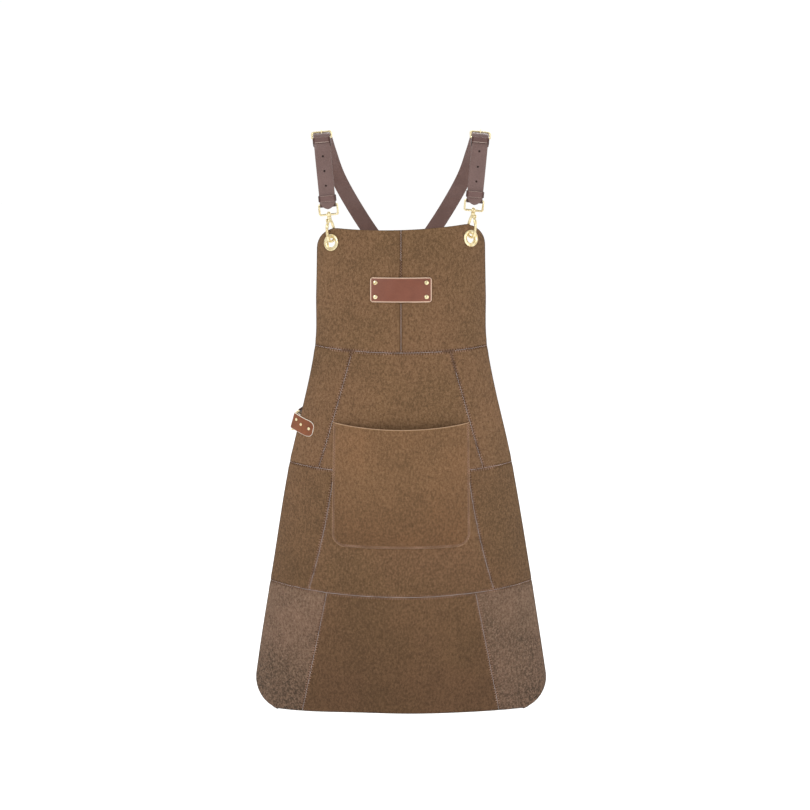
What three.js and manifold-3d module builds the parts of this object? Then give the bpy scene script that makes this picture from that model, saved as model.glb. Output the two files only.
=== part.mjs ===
// A welder's split-leather bib apron with a cross-back strap harness, in the shape it takes when worn.
// Millimetres, +Z up, the wearer faces -Y. The origin is midway between the two shoulder tops, level
// with the undersides of the straps. "right" and "left" are the wearer's: right is -X, left is +X.
import * as THREE from 'three';
import { mergeVertices } from 'three/addons/utils/BufferGeometryUtils.js';
import Module from 'manifold-3d';

const wasm = await Module();
wasm.setup();

// ---------------------------------------------------------------- driving dimensions

const GAP = 0.3;
// Each side's waist tab: its distance in front of the leather's middle, and its rivets as run and rise.
const SIDES = [
  { name: 'right', sign: -1, tabOutside: true, ringRun: 14, tabRivets: [[-28.5, 0.5], [-10, 1.5], [3.5, 5.5]] },
  { name: 'left', sign: 1, tabOutside: false, ringRun: -3, tabRivets: [] },
];
const degrees = THREE.MathUtils.degToRad;

// The draped leather: half width, front line and depth of its elliptical section at each height.
const DRAPE = [
  { z: -150, half: 147, front: -92, depth: 100 },
  { z: -270, half: 149, front: -113, depth: 100 },
  { z: -370, half: 152, front: -122, depth: 100 },
  { z: -584, half: 200, front: -133, depth: 138 },
  { z: -808, half: 239, front: -141, depth: 174 },
  { z: -1045, half: 276, front: -148, depth: 204 },
];
const SECTION_SPREAD = 1.14;
const LEATHER = 2;
const SEAM_HALF_GAP = 0.2;

const BIB_TOP = -154;
const BIB_SAG = 4.7;
const BIB_TILT = 0.03;
const BIB_CORNER = 37;
const SEAM_BIB = -370;
const SEAM_HIP = -584;
const SEAM_HEM = -808.5;
const SEAM_RISE = 5;
const HEM = -1025;
const HEM_DROP = 11;
const HEM_CORNER = 52;

const POCKET = { half: 119, flare: 4, top: -496, sag: 7, bottom: -719, corner: 24, pouch: 13, leather: 2 };
const LABEL = { half: 53, height: 43, z: -261, corner: 5, leather: 2.2, rivetX: 44, rivetZ: 12.2 };
const EYELET = { x: 121.4, z: -180, bore: 8, barrel: 8.9, flange: 14.8, rise: 1.7, washer: 0.5 };
const RIVET = { head: 3.9, dome: 1.7, shank: 1.5, tail: 3.4, tailHeight: 0.8 };

const STRAP = { width: 27.5, leather: 2.4, lean: degrees(5.2), shoulderRadius: 30 };
const WIRE = 1.8;
const LOOP = { bore: 2.2, mid: 4.8 };
const EYE = { width: 31.8, height: 17.5, corner: 2.1, below: 131.7 };
const BOSS = { radius: 3.9, height: 6.4, bore: 2.3 };
const HOOK = { wire: 2, half: 9, drop: 47, split: 25, shank: 2, turn: degrees(40), open: 0.4 };
const BUCKLE = { width: 33.4, length: 20, corner: 2.9, heelAngle: degrees(50), noseOffset: 6 };
const KEEPER = { wall: 1.5, height: 10.5 };
const UPPER_KEEPER = { drop: 8.4, below: 4.4, inside: 12.1 };
const LOWER_KEEPER = { rise: 10.9, below: 3.5, inside: 9.6 };
const PRONG = { ring: 3.8, width: 3.2, thick: 2, slot: 5 };
const PIN = { radius: 0.9, y: -3.6, z: -10.4 };
const REST = { from: 14, to: 30, end: 38 };
const PUNCH = { radius: 1.9, first: -30, pitch: 25.5, count: 3 };

const TAB = { z: -507.5, rise: degrees(12), width: 29.2, leather: 2.2, front: 50.5, inner: 44, mouth: 8 };
const RING = { radius: 18, turn: -0.58, strapAngle: degrees(42) };
const STRAP_END = { width: 10, fold: 4.7, taper: 46, overlap: 34, rivet: 21 };
const CROSS = { y: 104, z: -262, patch: 23, sweep: 92 };

const SUEDE = 0x7d6044;
const SUEDE_GREY = 0x6f5a48;
const SUEDE_POCKET = 0x88694c;
const STRAP_LEATHER = 0x7a5a50;
const TAB_LEATHER = 0x7d4128;
const LABEL_LEATHER = 0x965a46;
const BRASS = 0xcdb46e;

// ---------------------------------------------------------------- materials and solids

function leatherMaterial(color) {
  return new THREE.MeshStandardMaterial({ color, roughness: 0.85, metalness: 0 });
}

function brassMaterial() {
  return new THREE.MeshStandardMaterial({ color: BRASS, roughness: 0.35, metalness: 1 });
}

const apron = new THREE.Group();

function addPart(name, geometry, material, parent = apron) {
  const mesh = new THREE.Mesh(geometry, material);
  mesh.name = name;
  parent.add(mesh);
  return mesh;
}

function toSolid(geometry) {
  const bare = geometry.clone();
  bare.deleteAttribute('normal');
  bare.deleteAttribute('uv');
  const merged = mergeVertices(bare, 1e-4);
  return new wasm.Manifold(new wasm.Mesh({
    numProp: 3,
    vertProperties: new Float32Array(merged.attributes.position.array),
    triVerts: new Uint32Array(merged.index.array),
  }));
}

function fromSolid(solid) {
  const mesh = solid.getMesh();
  const geometry = new THREE.BufferGeometry();
  geometry.setAttribute('position', new THREE.BufferAttribute(mesh.vertProperties, 3));
  geometry.setIndex(new THREE.BufferAttribute(mesh.triVerts, 1));
  return geometry;
}

function cut(geometry, cutters) {
  return fromSolid(cutters.reduce((solid, cutter) => solid.subtract(toSolid(cutter)), toSolid(geometry)));
}

function join(geometries) {
  return fromSolid(geometries.map(toSolid).reduce((a, b) => a.add(b)));
}

// A closed body from corner points and faces; the faces are turned if they point inward.
function closedBody(points, triangles) {
  const volume = triangles.reduce((sum, [a, b, c]) => (
    sum + points[a].dot(new THREE.Vector3().crossVectors(points[b], points[c]))
  ), 0);
  const faces = volume < 0 ? triangles.map(([a, b, c]) => [a, c, b]) : triangles;
  const geometry = new THREE.BufferGeometry().setFromPoints(points);
  geometry.setIndex(faces.flat());
  return geometry;
}

// A sheet body between two grids of points with the same rows and columns.
function slab(outer, inner) {
  const rowCount = outer.length;
  const columnCount = outer[0].length;
  const base = rowCount * columnCount;
  const points = [...outer.flat(), ...inner.flat()];
  const at = (r, c) => r * columnCount + c;
  const triangles = [];
  for (let r = 0; r < rowCount - 1; r += 1) {
    for (let c = 0; c < columnCount - 1; c += 1) {
      const [p, q, s, t] = [at(r, c), at(r + 1, c), at(r + 1, c + 1), at(r, c + 1)];
      triangles.push([p, q, s], [p, s, t]);
      triangles.push([base + p, base + s, base + q], [base + p, base + t, base + s]);
    }
  }
  const rim = [];
  for (let c = 0; c < columnCount - 1; c += 1) rim.push(at(0, c));
  for (let r = 0; r < rowCount - 1; r += 1) rim.push(at(r, columnCount - 1));
  for (let c = columnCount - 1; c > 0; c -= 1) rim.push(at(rowCount - 1, c));
  for (let r = rowCount - 1; r > 0; r -= 1) rim.push(at(r, 0));
  rim.forEach((p, k) => {
    const q = rim[(k + 1) % rim.length];
    triangles.push([p, q, base + q], [p, base + q, base + p]);
  });
  return closedBody(points, triangles);
}

// A flat strap swept through stations: each has a point, the direction away from the body and a width.
function ribbon(stations, thickness) {
  const corners = stations.map(({ point, out, width }, k) => {
    const before = stations[Math.max(k - 1, 0)].point;
    const after = stations[Math.min(k + 1, stations.length - 1)].point;
    const along = new THREE.Vector3().subVectors(after, before).normalize();
    const across = new THREE.Vector3().crossVectors(along, out).normalize();
    const normal = new THREE.Vector3().crossVectors(across, along).normalize();
    return [[1, 1], [-1, 1], [-1, -1], [1, -1]].map(([a, n]) => point.clone()
      .addScaledVector(across, a * width / 2)
      .addScaledVector(normal, n * thickness / 2));
  });
  const triangles = [[0, 1, 2], [0, 2, 3]];
  for (let k = 0; k < stations.length - 1; k += 1) {
    for (let i = 0; i < 4; i += 1) {
      const j = (i + 1) % 4;
      const [a, b, c, d] = [4 * k + i, 4 * k + j, 4 * k + 4 + j, 4 * k + 4 + i];
      triangles.push([a, d, c], [a, c, b]);
    }
  }
  const last = 4 * (stations.length - 1);
  triangles.push([last, last + 2, last + 1], [last, last + 3, last + 2]);
  return closedBody(corners.flat(), triangles);
}

// Extrudes a shape drawn in the side view (y, z) by a width centred on x = 0.
function sideProfile(shape, width, curveSegments = 5) {
  const geometry = new THREE.ExtrudeGeometry(shape, { depth: width, bevelEnabled: false, curveSegments });
  geometry.translate(0, 0, -width / 2);
  const axes = new THREE.Matrix4().makeBasis(
    new THREE.Vector3(0, 1, 0),
    new THREE.Vector3(0, 0, 1),
    new THREE.Vector3(1, 0, 0),
  );
  return geometry.applyMatrix4(axes);
}

function roundedRectangle(path, width, height, radius) {
  const x = width / 2;
  const y = height / 2;
  path.moveTo(-x + radius, -y);
  path.lineTo(x - radius, -y);
  path.absarc(x - radius, -y + radius, radius, -Math.PI / 2, 0);
  path.lineTo(x, y - radius);
  path.absarc(x - radius, y - radius, radius, 0, Math.PI / 2);
  path.lineTo(-x + radius, y);
  path.absarc(-x + radius, y - radius, radius, Math.PI / 2, Math.PI);
  path.lineTo(-x, -y + radius);
  path.absarc(-x + radius, -y + radius, radius, Math.PI, 1.5 * Math.PI);
  return path;
}

// A cast wire ring lying in the XY plane: two outlines a wire apart, with the edges rounded off.
function castRing(outline, hole) {
  const round = 1.1;
  outline.holes.push(hole);
  const geometry = new THREE.ExtrudeGeometry(outline, {
    depth: 2 * (WIRE - round),
    bevelThickness: round,
    bevelSize: round,
    bevelOffset: -round,
    bevelSegments: 1,
    curveSegments: 3,
  });
  return geometry.translate(0, 0, round - WIRE);
}

// A ring of rectangular or nearly rectangular outline; width and height are between wire centres.
function rectangularRing(width, height, corner) {
  const outer = roundedRectangle(new THREE.Shape(), width + 2 * WIRE, height + 2 * WIRE, corner + WIRE);
  const inner = roundedRectangle(new THREE.Path(), width - 2 * WIRE, height - 2 * WIRE, corner - WIRE);
  return castRing(outer, inner);
}

function latheOnZ(profile, segments) {
  const geometry = new THREE.LatheGeometry(profile.map(([r, h]) => new THREE.Vector2(r, h)), segments);
  return geometry.rotateX(Math.PI / 2);
}

function cylinderOnZ(radius, length, segments = 16) {
  return new THREE.CylinderGeometry(radius, radius, length, segments).rotateX(Math.PI / 2);
}

// ---------------------------------------------------------------- the draped surface

function lastBelow(z) {
  let k = 0;
  while (k < DRAPE.length - 2 && z < DRAPE[k + 1].z) k += 1;
  return k;
}

// Smooth interpolation between the drape's stations.
function drapeValue(z, key) {
  const k = lastBelow(z);
  const [a, b] = [DRAPE[k], DRAPE[k + 1]];
  const before = DRAPE[Math.max(k - 1, 0)];
  const after = DRAPE[Math.min(k + 2, DRAPE.length - 1)];
  const span = b.z - a.z;
  const t = (z - a.z) / span;
  const slopeA = (b[key] - before[key]) / (b.z - before.z);
  const slopeB = (after[key] - a[key]) / (after.z - a.z);
  const tt = t * t;
  const ttt = tt * t;
  return (2 * ttt - 3 * tt + 1) * a[key] + (ttt - 2 * tt + t) * span * slopeA
    + (3 * tt - 2 * ttt) * b[key] + (ttt - tt) * span * slopeB;
}

function halfWidth(z) {
  return drapeValue(z, 'half');
}

function drapeY(x, z) {
  const t = x / (SECTION_SPREAD * halfWidth(z));
  return drapeValue(z, 'front') + drapeValue(z, 'depth') * (1 - Math.sqrt(1 - t * t));
}

function drapeNormal(x, z) {
  const step = 0.5;
  const slopeX = (drapeY(x + step, z) - drapeY(x - step, z)) / (2 * step);
  const slopeZ = (drapeY(x, z + step) - drapeY(x, z - step)) / (2 * step);
  return new THREE.Vector3(slopeX, -1, slopeZ).normalize();
}

function leatherPoint(x, z, offset = 0) {
  return new THREE.Vector3(x, drapeY(x, z), z).addScaledVector(drapeNormal(x, z), offset);
}

// The placement of a piece seated on the leather: local +Z is outward and local +Y is up.
function seat(x, z, offset) {
  const outward = drapeNormal(x, z);
  const right = new THREE.Vector3().crossVectors(new THREE.Vector3(0, 0, 1), outward).normalize();
  const up = new THREE.Vector3().crossVectors(outward, right);
  return new THREE.Matrix4().makeBasis(right, up, outward).setPosition(leatherPoint(x, z, offset));
}

function place(mesh, matrix) {
  matrix.decompose(mesh.position, mesh.quaternion, mesh.scale);
  return mesh;
}

// Evenly spread fractions, with extra rows where a corner of the given share of the height is rounded.
function rowFractions(count, topShare = 0, bottomShare = 0, arc = [0, 0.04, 0.15, 0.4, 0.75]) {
  const top = topShare ? arc.map((t) => t * topShare) : [];
  const bottom = bottomShare ? arc.map((t) => 1 - t * bottomShare).reverse() : [];
  const middle = [];
  for (let k = 0; k <= count; k += 1) {
    middle.push(topShare + (1 - topShare - bottomShare) * k / count);
  }
  return [...top, ...middle, ...bottom];
}

// How far a rounded corner draws the edge in, at a given distance from the corner's straight edge.
function cornerInset(distance, radius) {
  const d = Math.max(0, Math.min(distance, radius));
  return radius - Math.sqrt(radius * radius - (radius - d) ** 2);
}

// A curved leather piece between four edges. left and right give x at a height; top and bottom give z at x.
function leatherPiece({ left, right, top, bottom, columns, rows, thickness = LEATHER, offset = () => 0 }) {
  const grid = (side) => rows.map((v) => {
    const row = [];
    for (let c = 0; c <= columns; c += 1) {
      const u = c / columns;
      let x = 0;
      let z = bottom(0) * v + top(0) * (1 - v);
      for (let pass = 0; pass < 6; pass += 1) {
        x = left(z) * (1 - u) + right(z) * u;
        z = top(x) * (1 - v) + bottom(x) * v;
      }
      row.push(leatherPoint(x, z, offset(u, v) + side * thickness / 2));
    }
    return row;
  });
  return slab(grid(1), grid(-1));
}

// ---------------------------------------------------------------- seams and outline

function bibTop(x) {
  const reach = 1 - (x / EYELET.x) ** 2;
  return BIB_TOP - BIB_SAG * Math.max(0, reach) + BIB_TILT * x;
}

function crossSeam(level) {
  return (x) => level + SEAM_RISE * (x / halfWidth(level)) ** 2;
}

const bibSeam = crossSeam(SEAM_BIB);
const hipSeam = crossSeam(SEAM_HIP);
const hemSeam = crossSeam(SEAM_HEM);

function hemLine(x) {
  return HEM - HEM_DROP * (x / 200) ** 2;
}

// The raw side edge, with the bib's top corners and the hem's bottom corners rounded.
function sideEdge(sign) {
  return (z) => {
    const half = halfWidth(z);
    const fromTop = bibTop(sign * (half - BIB_CORNER)) - z;
    const fromHem = z - hemLine(half - HEM_CORNER);
    return sign * (half - cornerInset(fromTop, BIB_CORNER) - cornerInset(fromHem, HEM_CORNER));
  };
}

// Lengthwise seams between a row's centre and side panels: distance from the middle at a height.
function waistSeam(z) {
  const t = (SEAM_BIB - z) / (SEAM_BIB - SEAM_HIP);
  return 86 + 61.5 * t - 3 * t * (1 - t);
}

function skirtSeam(z) {
  const t = (SEAM_HIP - z) / (SEAM_HIP - SEAM_HEM);
  return 119 + 30 * t + 19 * t * t;
}

function hemRowSeam(z) {
  const t = (SEAM_HEM - z) / (SEAM_HEM - HEM);
  return 134 + 44 * t;
}

const below = (seam) => (x) => seam(x) - SEAM_HALF_GAP;
const above = (seam) => (x) => seam(x) + SEAM_HALF_GAP;
const beside = (seam, sign, shift) => (z) => sign * (seam(z) + shift * SEAM_HALF_GAP);

// ---------------------------------------------------------------- rivets

function rivetGeometry(grip, scale = 1) {
  const head = RIVET.head * scale;
  const front = grip / 2 + GAP;
  const back = -grip / 2 - 2 * GAP;
  const profile = [
    [0, back - RIVET.tailHeight],
    [RIVET.tail * scale, back - RIVET.tailHeight],
    [RIVET.tail * scale, back],
    [RIVET.shank, back],
    [RIVET.shank, front],
    [head, front],
    [head * 0.75, front + RIVET.dome * 0.7],
    [0, front + RIVET.dome],
  ];
  return latheOnZ(profile, 10);
}

function rivetHole(matrix) {
  return cylinderOnZ(RIVET.shank + GAP, 24, 8).applyMatrix4(matrix);
}

// ---------------------------------------------------------------- leather body

const labelOffset = LEATHER / 2 + GAP + LABEL.leather / 2;
const labelRivetSeats = [-1, 1].flatMap((sx) => [1, -1].map((sz) => (
  seat(sx * LABEL.rivetX, LABEL.z + sz * LABEL.rivetZ, (GAP + LABEL.leather) / 2)
)));

const eyeletSeats = SIDES.map(({ sign }) => (
  seat(sign * EYELET.x, EYELET.z + BIB_TILT * sign * EYELET.x, 0)
));

function addBibPanels() {
  SIDES.forEach(({ name, sign }, k) => {
    const centre = () => sign * SEAM_HALF_GAP;
    const edge = sideEdge(sign);
    const share = BIB_CORNER / (BIB_TOP - SEAM_BIB);
    const blank = leatherPiece({
      left: sign < 0 ? edge : centre,
      right: sign < 0 ? centre : edge,
      top: bibTop,
      bottom: above(bibSeam),
      columns: 9,
      rows: rowFractions(4, share),
    });
    const eyeletHole = cylinderOnZ(EYELET.barrel + 2 * GAP, 12, 20).applyMatrix4(eyeletSeats[k]);
    const rivetHoles = labelRivetSeats.slice(2 * k, 2 * k + 2).map(rivetHole);
    addPart(`bib_panel_${name}`, cut(blank, [eyeletHole, ...rivetHoles]), leatherMaterial(SUEDE));
  });
}

// A row of one centre panel and two side panels between two cross seams.
function addPanelRow(row, seam, top, bottom, rows, cuts, sideColor) {
  addPart(`${row}_panel_centre`, leatherPiece({
    left: beside(seam, -1, -1),
    right: beside(seam, 1, -1),
    top,
    bottom,
    columns: 10,
    rows,
  }), leatherMaterial(SUEDE));
  SIDES.forEach(({ name, sign }) => {
    const edge = sideEdge(sign);
    const blank = leatherPiece({
      left: sign < 0 ? edge : beside(seam, 1, 1),
      right: sign < 0 ? beside(seam, -1, 1) : edge,
      top,
      bottom,
      columns: 5,
      rows,
    });
    const holes = cuts[name] ?? [];
    addPart(`${row}_panel_${name}`, holes.length ? cut(blank, holes) : blank, leatherMaterial(sideColor));
  });
}

function pocketHalf(z) {
  const t = (POCKET.top - z) / (POCKET.top - POCKET.bottom);
  return POCKET.half + POCKET.flare * t - cornerInset(z - POCKET.bottom, POCKET.corner);
}

// The patch pocket lies on the leather along its sides and bottom and stands off it at its mouth.
function addPocket() {
  const stand = LEATHER / 2 + GAP + POCKET.leather / 2;
  const share = POCKET.corner / (POCKET.top - POCKET.bottom);
  addPart('pocket', leatherPiece({
    left: (z) => -pocketHalf(z),
    right: pocketHalf,
    top: (x) => POCKET.top - POCKET.sag * (1 - (x / POCKET.half) ** 2),
    bottom: () => POCKET.bottom,
    columns: 12,
    rows: rowFractions(4, 0, share, [0, 0.2, 0.55]),
    thickness: POCKET.leather,
    offset: (u, v) => stand + POCKET.pouch * Math.sin(Math.PI * u) ** 0.8 * (1 - v ** 4) * (1 - 0.35 * v),
  }), leatherMaterial(SUEDE_POCKET));
}

function addLabel() {
  const top = LABEL.z + LABEL.height / 2;
  const bottom = LABEL.z - LABEL.height / 2;
  const half = (z) => LABEL.half - cornerInset(Math.min(top - z, z - bottom), LABEL.corner);
  const share = LABEL.corner / LABEL.height;
  const plate = leatherPiece({
    left: (z) => -half(z),
    right: half,
    top: () => top,
    bottom: () => bottom,
    columns: 8,
    rows: rowFractions(1, share, share, [0, 0.3]),
    thickness: LABEL.leather,
    offset: () => labelOffset,
  });
  addPart('label_plate', cut(plate, labelRivetSeats.map(rivetHole)), leatherMaterial(LABEL_LEATHER));
  const grip = LEATHER + GAP + LABEL.leather;
  labelRivetSeats.forEach((matrix, k) => {
    place(addPart(`label_rivet_${k + 1}`, rivetGeometry(grip), brassMaterial()), matrix);
  });
}

// A two-part grommet: a flanged barrel from the front and a washer that its rim is rolled over.
function addEyelets() {
  const face = LEATHER / 2 + GAP;
  const back = -(LEATHER / 2 + 1.3);
  const rim = back - EYELET.washer - 0.2;
  const flange = [
    [EYELET.bore, rim],
    [EYELET.barrel, rim],
    [EYELET.barrel, face],
    [EYELET.flange, face],
    [EYELET.flange - 0.4, face + EYELET.rise * 0.6],
    [EYELET.flange - 1.8, face + EYELET.rise],
    [EYELET.bore + 1.8, face + EYELET.rise],
    [EYELET.bore + 0.4, face + EYELET.rise * 0.6],
    [EYELET.bore, face],
    [EYELET.bore, rim],
  ];
  const washer = [
    [EYELET.barrel + 2 * GAP, back - EYELET.washer],
    [EYELET.flange - 2.6, back - EYELET.washer],
    [EYELET.flange - 2.6, back],
    [EYELET.barrel + 2 * GAP, back],
    [EYELET.barrel + 2 * GAP, back - EYELET.washer],
  ];
  SIDES.forEach(({ name }, k) => {
    place(addPart(`eyelet_${name}`, latheOnZ(flange, 20), brassMaterial()), eyeletSeats[k]);
    place(addPart(`eyelet_washer_${name}`, latheOnZ(washer, 20), brassMaterial()), eyeletSeats[k]);
  });
}

// ---------------------------------------------------------------- shoulder straps, front

const strapLineY = drapeY(EYELET.x, EYELET.z) + 0.4;
const underY = strapLineY + LOOP.mid;
const arcCentre = { y: underY + STRAP.shoulderRadius, z: -STRAP.shoulderRadius };
const shoulderX = EYELET.x - EYELET.z * Math.tan(STRAP.lean);
const heelRadius = STRAP.shoulderRadius + LOOP.mid;
const noseRadius = STRAP.shoulderRadius + BUCKLE.noseOffset;
const noseAngle = BUCKLE.heelAngle + Math.acos(
  (noseRadius ** 2 + heelRadius ** 2 - BUCKLE.length ** 2) / (2 * noseRadius * heelRadius),
);
const arcLength = STRAP.shoulderRadius * Math.PI / 2;
const heelRun = STRAP.shoulderRadius * (Math.PI / 2 - BUCKLE.heelAngle);
const noseRun = STRAP.shoulderRadius * (Math.PI / 2 - noseAngle);

// A point beside the strap's underside line: run is measured forward from the shoulder top, and offset
// away from the body. The line is flat on the shoulder, then an arc, then straight down the chest.
function onStrap(run, offset) {
  if (run <= 0) return { y: arcCentre.y - run, z: offset, angle: Math.PI / 2 };
  if (run >= arcLength) return { y: underY - offset, z: arcCentre.z - (run - arcLength), angle: 0 };
  const angle = Math.PI / 2 - run / STRAP.shoulderRadius;
  const reach = STRAP.shoulderRadius + offset;
  return { y: arcCentre.y - reach * Math.cos(angle), z: arcCentre.z + reach * Math.sin(angle), angle };
}

function runAtHeight(z) {
  return arcLength + arcCentre.z - z;
}

function sideDrop(sign) {
  return -BIB_TILT * sign * EYELET.x;
}

// The frame that a shoulder's straps and metalwork are built in: leaning in towards the bib, X across.
function shoulderFrame({ sign }) {
  const group = new THREE.Group();
  group.position.set(sign * shoulderX, 0, 0);
  group.rotation.y = sign * STRAP.lean;
  group.updateMatrix();
  return group;
}

// Half thickness of the doubled chape at a distance from one of its end loops.
function chapeHalf(distance) {
  const loop = LOOP.bore + STRAP.leather;
  const shoulder = 3;
  const atShoulder = Math.sqrt(loop * loop - shoulder * shoulder);
  if (distance < shoulder) return Math.sqrt(loop * loop - distance * distance);
  return Math.max(STRAP.leather, atShoulder - 0.16 * (distance - shoulder));
}

// The chape: a doubled strap, folded round the buckle's heel bar above and the hook's eye below, with a
// slot for the prong through its upper fold.
function chapeGeometry(eyeRun) {
  const loop = LOOP.bore + STRAP.leather;
  const heel = onStrap(heelRun, LOOP.mid);
  const eye = onStrap(eyeRun, LOOP.mid);
  const capSteps = 8;
  const turn = (k) => Math.PI * k / capSteps;
  const heelCap = [];
  const eyeCap = [];
  for (let k = 0; k <= capSteps; k += 1) {
    const [c, s] = [loop * Math.cos(turn(k)), loop * Math.sin(turn(k))];
    const tilted = new THREE.Vector2(c, s).rotateAround(new THREE.Vector2(), -BUCKLE.heelAngle);
    heelCap.push([heel.y + tilted.x, heel.z + tilted.y]);
    eyeCap.push([eye.y - c, eye.z - s]);
  }
  const runs = [];
  for (let k = 1; k < 6; k += 1) runs.push(heelRun + 2 * k);
  for (let k = 1; k < 5; k += 1) runs.push(heelRun + 10 + (arcLength - heelRun - 10) * k / 4);
  for (let k = 5; k > 0; k -= 1) runs.push(eyeRun - 2 * k);
  const edge = (side) => (run) => {
    const half = chapeHalf(Math.min(run - heelRun, eyeRun - run));
    const { y, z } = onStrap(run, LOOP.mid + side * half);
    return [y, z];
  };
  const outline = [...heelCap, ...runs.map(edge(1)), ...eyeCap, ...runs.map(edge(-1)).reverse()];
  const shape = new THREE.Shape(outline.map(([y, z]) => new THREE.Vector2(y, z)));
  [heel, eye].forEach(({ y, z }) => {
    const hole = new THREE.Path();
    hole.absarc(y, z, LOOP.bore, 0, 2 * Math.PI);
    shape.holes.push(hole);
  });
  const slot = new THREE.BoxGeometry(PRONG.slot, 2 * PRONG.ring + 1.6, 20);
  slot.translate(0, 0, 20 / 2 - PRONG.ring - 0.8);
  slot.rotateX(BUCKLE.heelAngle - Math.PI / 2);
  slot.translate(0, heel.y, heel.z);
  return cut(sideProfile(shape, STRAP.width, 4), [slot]);
}

// A keeper: a leather band round the chape and the strap's free end, set across the strap at a run.
function keeperGeometry(run, { below: bottom, inside }) {
  const middle = LOOP.mid - bottom + inside / 2;
  const width = STRAP.width + 2 * GAP;
  const wall = 2 * KEEPER.wall;
  const outline = roundedRectangle(new THREE.Shape(), width + wall, inside + wall, 2.4);
  outline.holes.push(roundedRectangle(new THREE.Path(), width, inside, 0.9));
  const geometry = new THREE.ExtrudeGeometry(outline, {
    depth: KEEPER.height,
    bevelEnabled: false,
    curveSegments: 3,
  });
  const { y, z, angle } = onStrap(run, middle);
  geometry.translate(0, 0, -KEEPER.height / 2);
  geometry.rotateX(-angle);
  return geometry.translate(0, y, z);
}

// The buckle's frame, with its heel bar in the chape's upper fold and its nose over the shoulder.
function buckleGeometry() {
  const heel = onStrap(heelRun, LOOP.mid);
  const nose = onStrap(noseRun, BUCKLE.noseOffset);
  const pitch = Math.atan2(nose.z - heel.z, nose.y - heel.y);
  const geometry = rectangularRing(BUCKLE.width, BUCKLE.length, BUCKLE.corner);
  geometry.translate(0, BUCKLE.length / 2, 0);
  geometry.rotateX(pitch);
  return geometry.translate(0, heel.y, heel.z);
}

// The prong: an eye round the heel bar and a shank whose tip lies on the nose.
function prongGeometry() {
  const heel = onStrap(heelRun, LOOP.mid);
  const shape = new THREE.Shape();
  const reach = BUCKLE.length + 2.2;
  const lift = WIRE + GAP;
  const thick = PRONG.thick;
  const crook = PRONG.ring * 0.72;
  shape.moveTo(crook, crook * 0.95);
  shape.absarc(0, 0, PRONG.ring, Math.PI * 0.24, Math.PI * 1.9, false);
  shape.lineTo(7, -0.2);
  shape.lineTo(BUCKLE.length - 5, lift - 0.1);
  shape.lineTo(reach, lift);
  shape.lineTo(reach + 0.6, lift + thick / 2);
  shape.lineTo(reach, lift + thick);
  shape.lineTo(BUCKLE.length - 5, lift + thick);
  shape.closePath();
  const hole = new THREE.Path();
  hole.absarc(0, 0, LOOP.bore, 0, 2 * Math.PI);
  shape.holes.push(hole);
  const nose = onStrap(noseRun, BUCKLE.noseOffset);
  const pitch = Math.atan2(nose.z - heel.z, nose.y - heel.y);
  const geometry = sideProfile(shape, PRONG.width, 4);
  geometry.rotateX(pitch);
  return geometry.translate(0, heel.y, heel.z);
}

// ---------------------------------------------------------------- snap hooks

// The eye that the strap holds: a rectangular ring with a bored boss on its lower bar.
function hookEyeGeometry() {
  const ring = rectangularRing(EYE.width, EYE.height, EYE.corner);
  ring.rotateX(Math.PI / 2);
  ring.translate(0, 0, EYE.height / 2);
  const boss = cylinderOnZ(BOSS.radius, BOSS.height, 12);
  const bore = cylinderOnZ(BOSS.bore, 3 * BOSS.height, 12);
  return cut(join([ring, boss]), [bore]);
}

function tubeAlong(points, radius, steps) {
  const circle = new THREE.Shape().absarc(0, 0, radius, 0, 2 * Math.PI);
  return new THREE.ExtrudeGeometry(circle, {
    steps,
    curveSegments: 4,
    extrudePath: new THREE.CatmullRomCurve3(points, false, 'centripetal'),
    bevelEnabled: false,
  });
}

// The hook's fixed body, origin at the eye's lower bar: button and shank through the boss, fork for the
// gate, and a J that runs down behind the leather, through the eyelet and up to the nose in front (-Y).
function hookBodyGeometry() {
  const top = BOSS.height / 2 + GAP;
  const spindle = latheOnZ([
    [0, -top - 4.6],
    [3.3, -top - 4.6],
    [3.9, -top - 1.2],
    [3.9, -top],
    [HOOK.shank, -top],
    [HOOK.shank, top],
    [3.1, top],
    [2.6, top + 1.3],
    [0, top + 1.9],
  ], 12);
  const bend = HOOK.drop - HOOK.half;
  const points = [
    new THREE.Vector3(0, 1.2, -6),
    new THREE.Vector3(0, 3.4, -10.5),
    new THREE.Vector3(0, 7, -19),
    new THREE.Vector3(0, HOOK.half, -28),
  ];
  for (let k = 0; k <= 6; k += 1) {
    const angle = Math.PI * k / 6;
    points.push(new THREE.Vector3(0, HOOK.half * Math.cos(angle), -bend - HOOK.half * Math.sin(angle)));
  }
  points.push(new THREE.Vector3(0, -HOOK.half, -HOOK.split - HOOK.open));
  const fork = new THREE.BoxGeometry(7.4, 6.2, 6.4).translate(0, -2.6, -10.2);
  const slot = new THREE.BoxGeometry(3.4, 12, 8.6).translate(0, -6.4, -12);
  const pinHole = cylinderOnZ(PIN.radius + GAP, 12, 10).rotateY(Math.PI / 2).translate(0, PIN.y, PIN.z);
  return cut(join([spindle, tubeAlong(points, HOOK.wire, 20), fork]), [slot, pinHole]);
}

// The spring gate: a flat tongue in the fork and a round lever down to the hook's nose.
function gateGeometry() {
  const lever = tubeAlong([
    new THREE.Vector3(0, PIN.y - 1.2, PIN.z - 3.2),
    new THREE.Vector3(0, -7.2, -19),
    new THREE.Vector3(0, -HOOK.half + 0.2, -HOOK.split + HOOK.open),
  ], HOOK.wire - 0.2, 6);
  const tongue = new THREE.BoxGeometry(2.6, 3.6, 6.2).translate(0, PIN.y - 0.3, PIN.z - 1.6);
  const pinHole = cylinderOnZ(PIN.radius + GAP, 12, 10).rotateY(Math.PI / 2).translate(0, PIN.y, PIN.z);
  return cut(join([lever, tongue]), [pinHole]);
}

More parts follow.
